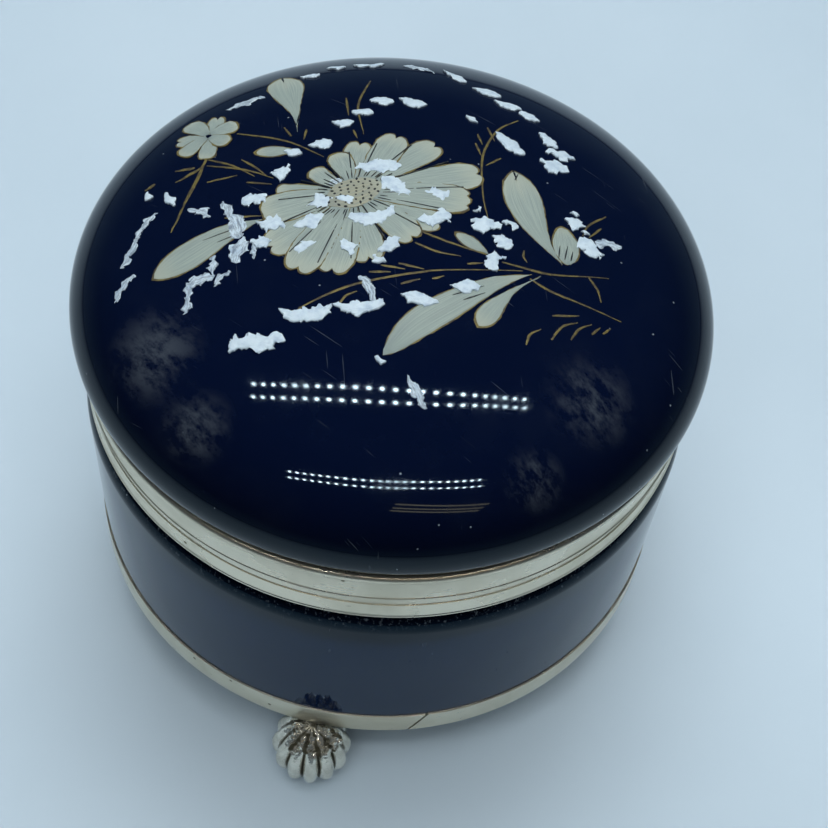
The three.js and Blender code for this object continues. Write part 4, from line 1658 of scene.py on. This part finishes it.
@dataclass
class Spray:
    """The painted spray of flowers and its raised white enamel."""

    brush: Brush
    seed_head: Point = (-8.8, 4.6)
    seed_long: float = 5.2
    seed_wide: float = 3.0
    seed_turn: float = 40.0
    outline: float = 0.28

    def petals(self, flower: Sequence[Petal], root: Point, hold: float) -> tuple[list, list]:
        """Lay a ring of petals and the gold that edges them.

        Args:
            flower: The petals.
            root: The flower's middle.
            hold: How far from the middle they start, in millimetres.

        Returns:
            The petals' strokes and the edging strokes.
        """
        paint, gold = [], []
        middle = Vector(root)
        for i, petal in enumerate(flower):
            tip = Vector((petal.x, petal.y))
            ray = tip - middle
            start = middle + ray.normalized() * hold
            bow = Vector((-ray.y, ray.x)).normalized() * (0.35 if i % 2 else -0.25)
            route = way(tuple(start), tuple((start + tip) / 2 + bow), tuple(tip))
            layer = 0.03 + 0.035 * ((i * 2) % 5)
            wide = self.petal_width(petal.half)
            end = lobed(petal.lobes, 0.9 if petal.lobes > 1 else 0.0, petal.half * 0.62)
            paint.append(self.brush.stroke(route, wide, layer + 0.025, 0.05, end, (26, 16), 0.12))
            further = tip + ray.normalized() * self.outline
            edge = way(tuple(start), tuple((start + tip) / 2 + bow), tuple(further))
            edge_width = self.petal_width(petal.half + self.outline * 0.8)
            gold.append(self.brush.stroke(edge, edge_width, layer, 0.0, end, (20, 14), 0.15))
        return paint, gold

    @staticmethod
    def petal_width(half: float) -> Width:
        """A petal's half-width, growing from its root."""
        return lambda share: half * (0.34 + 0.66 * math.sin(math.pi / 2 * min(1.0, share * 1.35)))

    def leaves(self) -> tuple[list, list]:
        """Lay the leaves and their edging."""
        paint, gold = [], []
        for i, leaf in enumerate(LEAVES):
            layer = 0.03 + 0.02 * (i % 2)
            body = lens(leaf.half, leaf.widest, leaf.blunt)
            end = lobed(leaf.lobes, 1.8, 0.0)
            paint.append(self.brush.stroke(leaf.route, body, layer + 0.025, 0.05, end, (36, 16), 0.1))
            edge = lens(leaf.half + self.outline * 0.8, leaf.widest, leaf.blunt)
            beyond = Vector(leaf.route.points[-1]) - Vector(leaf.route.points[-2])
            tip = Vector(leaf.route.points[-1]) + beyond.normalized() * self.outline * 1.6
            edge_route = Route((*leaf.route.points[:-1], tuple(tip)))
            gold.append(self.brush.stroke(edge_route, edge, layer, 0.0, end, (30, 14), 0.15))
        return paint, gold

    def stalks(self) -> list[bpy.types.Object]:
        """Lay the stalks and grasses."""
        thin = [self.brush.stroke(route, ribbon(0.19), 0.05, 0.03, grid=(20, 3), shake=0.05) for route in STALKS]
        bark = [self.brush.stroke(route, ribbon(0.30), 0.05, 0.04, grid=(20, 3), shake=0.15) for route in BARK]
        return thin + bark

    def seed_cushion(self) -> bpy.types.Object:
        """The seed head's plain ground."""
        turn = math.radians(self.seed_turn)
        reach = Vector((math.cos(turn), math.sin(turn))) * self.seed_long
        middle = Vector(self.seed_head)
        route = way(tuple(middle - reach), tuple(middle), tuple(middle + reach))
        return self.brush.stroke(route, lens(self.seed_wide, 0.5, 0.3), 0.24, 0.1, grid=(24, 12), shake=0.2)

    def ink(self, rng: random.Random) -> list[bpy.types.Object]:
        """Lay the seeds, the short rays round them and the folds of the leaves.

        Args:
            rng: Source of the small differences between marks.

        Returns:
            The ink strokes.
        """
        marks = []
        turn = math.radians(self.seed_turn)
        long_way = Vector((math.cos(turn), math.sin(turn)))
        wide_way = Vector((-long_way.y, long_way.x))
        middle = Vector(self.seed_head)
        for i in range(46):
            share = math.sqrt((i + 0.5) / 46)
            swirl = i * 2.39996
            spot = middle + long_way * math.cos(swirl) * share * self.seed_long * 0.95
            spot = spot + wide_way * math.sin(swirl) * share * self.seed_wide * 0.92
            lean = rng.uniform(0, math.pi)
            tail = Vector((math.cos(lean), math.sin(lean))) * rng.uniform(0.16, 0.34)
            route = way(tuple(spot - tail), tuple(spot + tail))
            marks.append(self.brush.stroke(route, lens(0.17), 0.34, 0.04, grid=(6, 3)))
        for i in range(44):
            spin = math.tau * i / 44 + rng.uniform(-0.05, 0.05)
            out = long_way * math.cos(spin) * self.seed_long + wide_way * math.sin(spin) * self.seed_wide
            start = middle + out * 1.06
            length = rng.uniform(0.9, 2.6) * (1.5 if i % 4 == 0 else 1.0)
            end = start + out.normalized() * length
            marks.append(self.brush.stroke(way(tuple(start), tuple(end)), ribbon(0.10), 0.25, grid=(6, 2)))
        for route in FOLDS:
            marks.append(self.brush.stroke(route, ribbon(0.12), 0.12, grid=(8, 2)))
        for i in range(0, len(FLOWER)):
            petal, following = FLOWER[i], FLOWER[(i + 1) % len(FLOWER)]
            between = (Vector((petal.x, petal.y)) + Vector((following.x, following.y))) / 2
            ray = between - middle
            route = way(tuple(middle + ray * 0.42), tuple(middle + ray * 0.90))
            marks.append(self.brush.stroke(route, ribbon(0.11, 0.3, 0.9), 0.24, grid=(10, 2)))
        return marks

    def dab(self, dab: Dab) -> bpy.types.Object:
        """Set down one touch of white enamel."""
        turn = math.radians(dab.turn)
        ahead = Vector((math.cos(turn), math.sin(turn))) * dab.length / 2
        left = Vector((-ahead.y, ahead.x)).normalized()
        middle = Vector((dab.x, dab.y))
        half = dab.width * 0.43
        if dab.touch is Touch.HOOK:
            route = way(
                tuple(middle - ahead + left * half * 0.7), tuple(middle - ahead * 0.3 - left * half * 0.35),
                tuple(middle + ahead * 0.5 - left * half * 0.2), tuple(middle + ahead + left * half * 1.1),
            )
            return self.brush.stroke(route, lens(half, 0.45, 0.32), 0.22, 0.18, grid=(34, 14), shake=0.7)
        if dab.touch is Touch.STREAK:
            route = way(tuple(middle - ahead), tuple(middle + left * half * 0.3), tuple(middle + ahead))
            return self.brush.stroke(route, lens(half, 0.55, 0.25), 0.10, 0.08, grid=(28, 12), shake=0.8)
        if dab.touch is Touch.CLOUD:
            route = way(tuple(middle - ahead), tuple(middle - left * half * 0.15), tuple(middle + ahead))
            return self.brush.stroke(route, lens(half, 0.5, 0.22), 0.22, 0.18, grid=(28, 18), shake=1.15)
        route = way(tuple(middle - ahead), tuple(middle - left * half * 0.2), tuple(middle + ahead))
        return self.brush.stroke(route, lens(half, 0.58, 0.36), 0.22, 0.20, grid=(26, 14), shake=0.55)

    def build(self) -> None:
        """Lay, join and dress the whole spray."""
        rng = random.Random(7)
        petals, edging = self.petals(FLOWER, self.seed_head, 2.4)
        small, small_edging = self.petals(LITTLE_FLOWER, (-36.2, 15.4), 0.5)
        leaves, leaf_edging = self.leaves()
        ground = self.seed_cushion()
        thick = [self.dab(dab) for dab in ENAMEL if dab.touch is not Touch.STREAK]
        thin = [self.dab(dab) for dab in ENAMEL if dab.touch is Touch.STREAK]
        plan = (
            (petals + small + leaves, "painted_petals", PetalPaint()),
            (edging + small_edging + leaf_edging + self.stalks(), "gold_lines", LineGold()),
            ([ground], "seed_head", PetalPaint(name="seed_paint", full=rgb(0.33, 0.33, 0.24))),
            (self.ink(rng), "ink_marks", InkLine()),
            (thick, "white_enamel_dabs", WhiteEnamel()),
            (thin, "thin_enamel_streaks", WhiteEnamel(name="thin_enamel", thinness=1.0)),
        )
        for strokes, name, finish in plan:
            piece = join(strokes, name)
            close_up(piece)
            smooth(piece, 60)
            dress(piece, finish.make())
            report(piece, "lid", "cobalt_glass")


# ------------------------------------------------------------------ setting: table, lights, camera


@dataclass
class Setting:
    """The table, the lights and the camera."""

    camera_distance: float = 290.06
    camera_rise: float = 52.58
    camera_turn: float = 8.5
    camera_pan: float = 1.04
    camera_tilt: float = -1.99
    camera_roll: float = -5.09
    aim_height: float = 56.0
    focal: float = 71.74
    sensor: float = 36.0

    def table(self) -> None:
        """Lay the table."""
        clear_selection()
        bpy.ops.mesh.primitive_plane_add(size=8.0)
        table = christen("table")
        dress(table, TableTop().make())

    def lamp(self, name: str, place: Sequence[float], size: Point, watts: float, colour: Sequence[float]) -> None:
        """Add a soft area lamp aimed at the box and hidden from reflections.

        Args:
            name: The lamp's name.
            place: Where it hangs, in metres.
            size: Its width and height, in metres.
            watts: Its power.
            colour: Its colour.
        """
        data = bpy.data.lights.new(name, "AREA")
        data.shape = "RECTANGLE"
        data.size, data.size_y = size
        data.energy = watts
        data.color = colour
        lamp = bpy.data.objects.new(name, data)
        bpy.context.scene.collection.objects.link(lamp)
        lamp.location = place
        lamp.rotation_euler = (Vector((0, 0, 0.05)) - Vector(place)).to_track_quat("-Z", "Y").to_euler()
        lamp.visible_glossy = False

    def light_rows(self) -> None:
        """Hang two double rows of small bright lights overhead, which the lid mirrors."""
        glow = bpy.data.materials.new("row_light")
        glow.use_nodes = True
        nodes = glow.node_tree.nodes
        nodes.clear()
        emission = nodes.new("ShaderNodeEmission")
        emission.inputs["Strength"].default_value = 90.0
        output = nodes.new("ShaderNodeOutputMaterial")
        glow.node_tree.links.new(emission.outputs[0], output.inputs["Surface"])
        rows = (
            (Vector((-0.272, 0.036, 0.7)), Vector((0.257, 0.143, 0.7))),
            (Vector((-0.271, -0.004, 0.7)), Vector((0.268, 0.117, 0.7))),
            (Vector((-0.184, -0.275, 0.7)), Vector((0.278, -0.170, 0.7))),
            (Vector((-0.187, -0.313, 0.7)), Vector((0.296, -0.204, 0.7))),
        )
        dots = []
        for row, (start, end) in enumerate(rows):
            for i in range(24):
                clear_selection()
                spot = start.lerp(end, i / 23)
                bpy.ops.mesh.primitive_circle_add(vertices=10, radius=0.0042, fill_type="NGON", location=spot)
                dot = christen(f"row_{row}_{i}")
                dot.data.transform(Matrix.Translation(spot) @ Matrix.Diagonal((1, 1, -1, 1)) @ Matrix.Translation(-spot))
                dots.append(dot)
        lights = join(dots, "light_rows")
        dress(lights, glow)

    def gold_rails(self) -> None:
        """Hang three faint warm strips behind the viewer, mirrored under the nearer rows."""
        warm = bpy.data.materials.new("rail_glow")
        warm.use_nodes = True
        nodes = warm.node_tree.nodes
        nodes.clear()
        emission = nodes.new("ShaderNodeEmission")
        emission.inputs["Color"].default_value = rgb(1.0, 0.72, 0.42)
        emission.inputs["Strength"].default_value = 3.6
        output = nodes.new("ShaderNodeOutputMaterial")
        warm.node_tree.links.new(emission.outputs[0], output.inputs["Surface"])
        rails = []
        for i, back in enumerate((-0.352, -0.388, -0.418)):
            clear_selection()
            bpy.ops.mesh.primitive_plane_add(size=1.0)
            rail = christen(f"rail_{i}")
            shape = Matrix.Diagonal((0.30, 0.010, 1.0, 1.0))
            turn = Matrix.Rotation(math.radians(6.0), 4, "Z")
            rail.data.transform(Matrix.Translation((0.262, back, 0.7)) @ turn @ shape)
            rails.append(rail)
        strip = join(rails, "gold_rails")
        dress(strip, warm)

    def surroundings(self) -> None:
        """A dark room with a pale band at the horizon."""
        world = bpy.data.worlds.new("room")
        bpy.context.scene.world = world
        world.use_nodes = True
        nodes, links = world.node_tree.nodes, world.node_tree.links
        nodes.clear()
        where = nodes.new("ShaderNodeTexCoord")
        parts = nodes.new("ShaderNodeSeparateXYZ")
        ramp = nodes.new("ShaderNodeValToRGB")
        stops = ((0.0, rgb(0.09, 0.14, 0.19)), (0.10, rgb(0.07, 0.11, 0.15)), (0.30, rgb(0.020, 0.032, 0.048)),
                 (1.0, rgb(0.006, 0.010, 0.018)))
        while len(ramp.color_ramp.elements) < len(stops):
            ramp.color_ramp.elements.new(0.5)
        for element, (position, colour) in zip(ramp.color_ramp.elements, stops):
            element.position = position
            element.color = colour
        sky = nodes.new("ShaderNodeBackground")
        output = nodes.new("ShaderNodeOutputWorld")
        links.new(where.outputs["Generated"], parts.inputs[0])
        links.new(parts.outputs["Z"], ramp.inputs[0])
        links.new(ramp.outputs[0], sky.inputs["Color"])
        links.new(sky.outputs[0], output.inputs["Surface"])

    def camera(self) -> None:
        """Set the camera."""
        rise, turn = math.radians(self.camera_rise), math.radians(self.camera_turn)
        back = Vector((math.sin(turn), -math.cos(turn), 0)) * math.cos(rise)
        place = (back + Vector((0, 0, math.sin(rise)))) * self.camera_distance
        ahead = -place.normalized()
        right = Vector((math.cos(turn), math.sin(turn), 0))
        up = right.cross(ahead)
        pan, tilt, roll = (math.radians(a) for a in (self.camera_pan, self.camera_tilt, self.camera_roll))
        right, ahead = math.cos(pan) * right - math.sin(pan) * ahead, math.sin(pan) * right + math.cos(pan) * ahead
        up, ahead = math.cos(tilt) * up - math.sin(tilt) * ahead, math.sin(tilt) * up + math.cos(tilt) * ahead
        right, up = math.cos(roll) * right - math.sin(roll) * up, math.sin(roll) * right + math.cos(roll) * up
        data = bpy.data.cameras.new("camera")
        data.lens = self.focal
        data.sensor_width = self.sensor
        camera = bpy.data.objects.new("camera", data)
        bpy.context.scene.collection.objects.link(camera)
        axes = Matrix((right, up, -ahead)).transposed().to_4x4()
        camera.matrix_world = Matrix.Translation((place + Vector((0, 0, self.aim_height))) * MM) @ axes
        bpy.context.scene.camera = camera

    def build(self) -> None:
        """Set everything up."""
        self.table()
        self.surroundings()
        self.light_rows()
        self.gold_rails()
        self.lamp("far_window", (-0.2, 1.1, 1.3), (1.6, 1.0), 14.2, (0.90, 0.96, 1.0))
        self.lamp("near_fill", (-0.2, -1.1, 1.5), (1.6, 1.2), 8.6, (0.92, 0.97, 1.0))
        self.lamp("top_soft", (0.1, 0.1, 1.8), (1.4, 1.4), 12.8, (0.94, 0.98, 1.0))
        self.camera()
        bpy.context.scene.view_settings.view_transform = "Standard"


def main() -> None:
    """Build the box and its setting."""
    logging.basicConfig(level=logging.INFO, format="%(message)s")
    Setting().build()
    Bowl().build()
    lid = LidGlass()
    lid.build()
    Mounts().build()
    BaseBand().build()
    cast = CastGilt().make()
    for number in (1, 2, 3):
        BallFoot(number=number, angle=270.0 + 120.0 * (number - 1)).build(cast)
    Hinge().build()
    Spray(brush=Brush(glass=lid)).build()


if __name__ == "__main__":
    main()
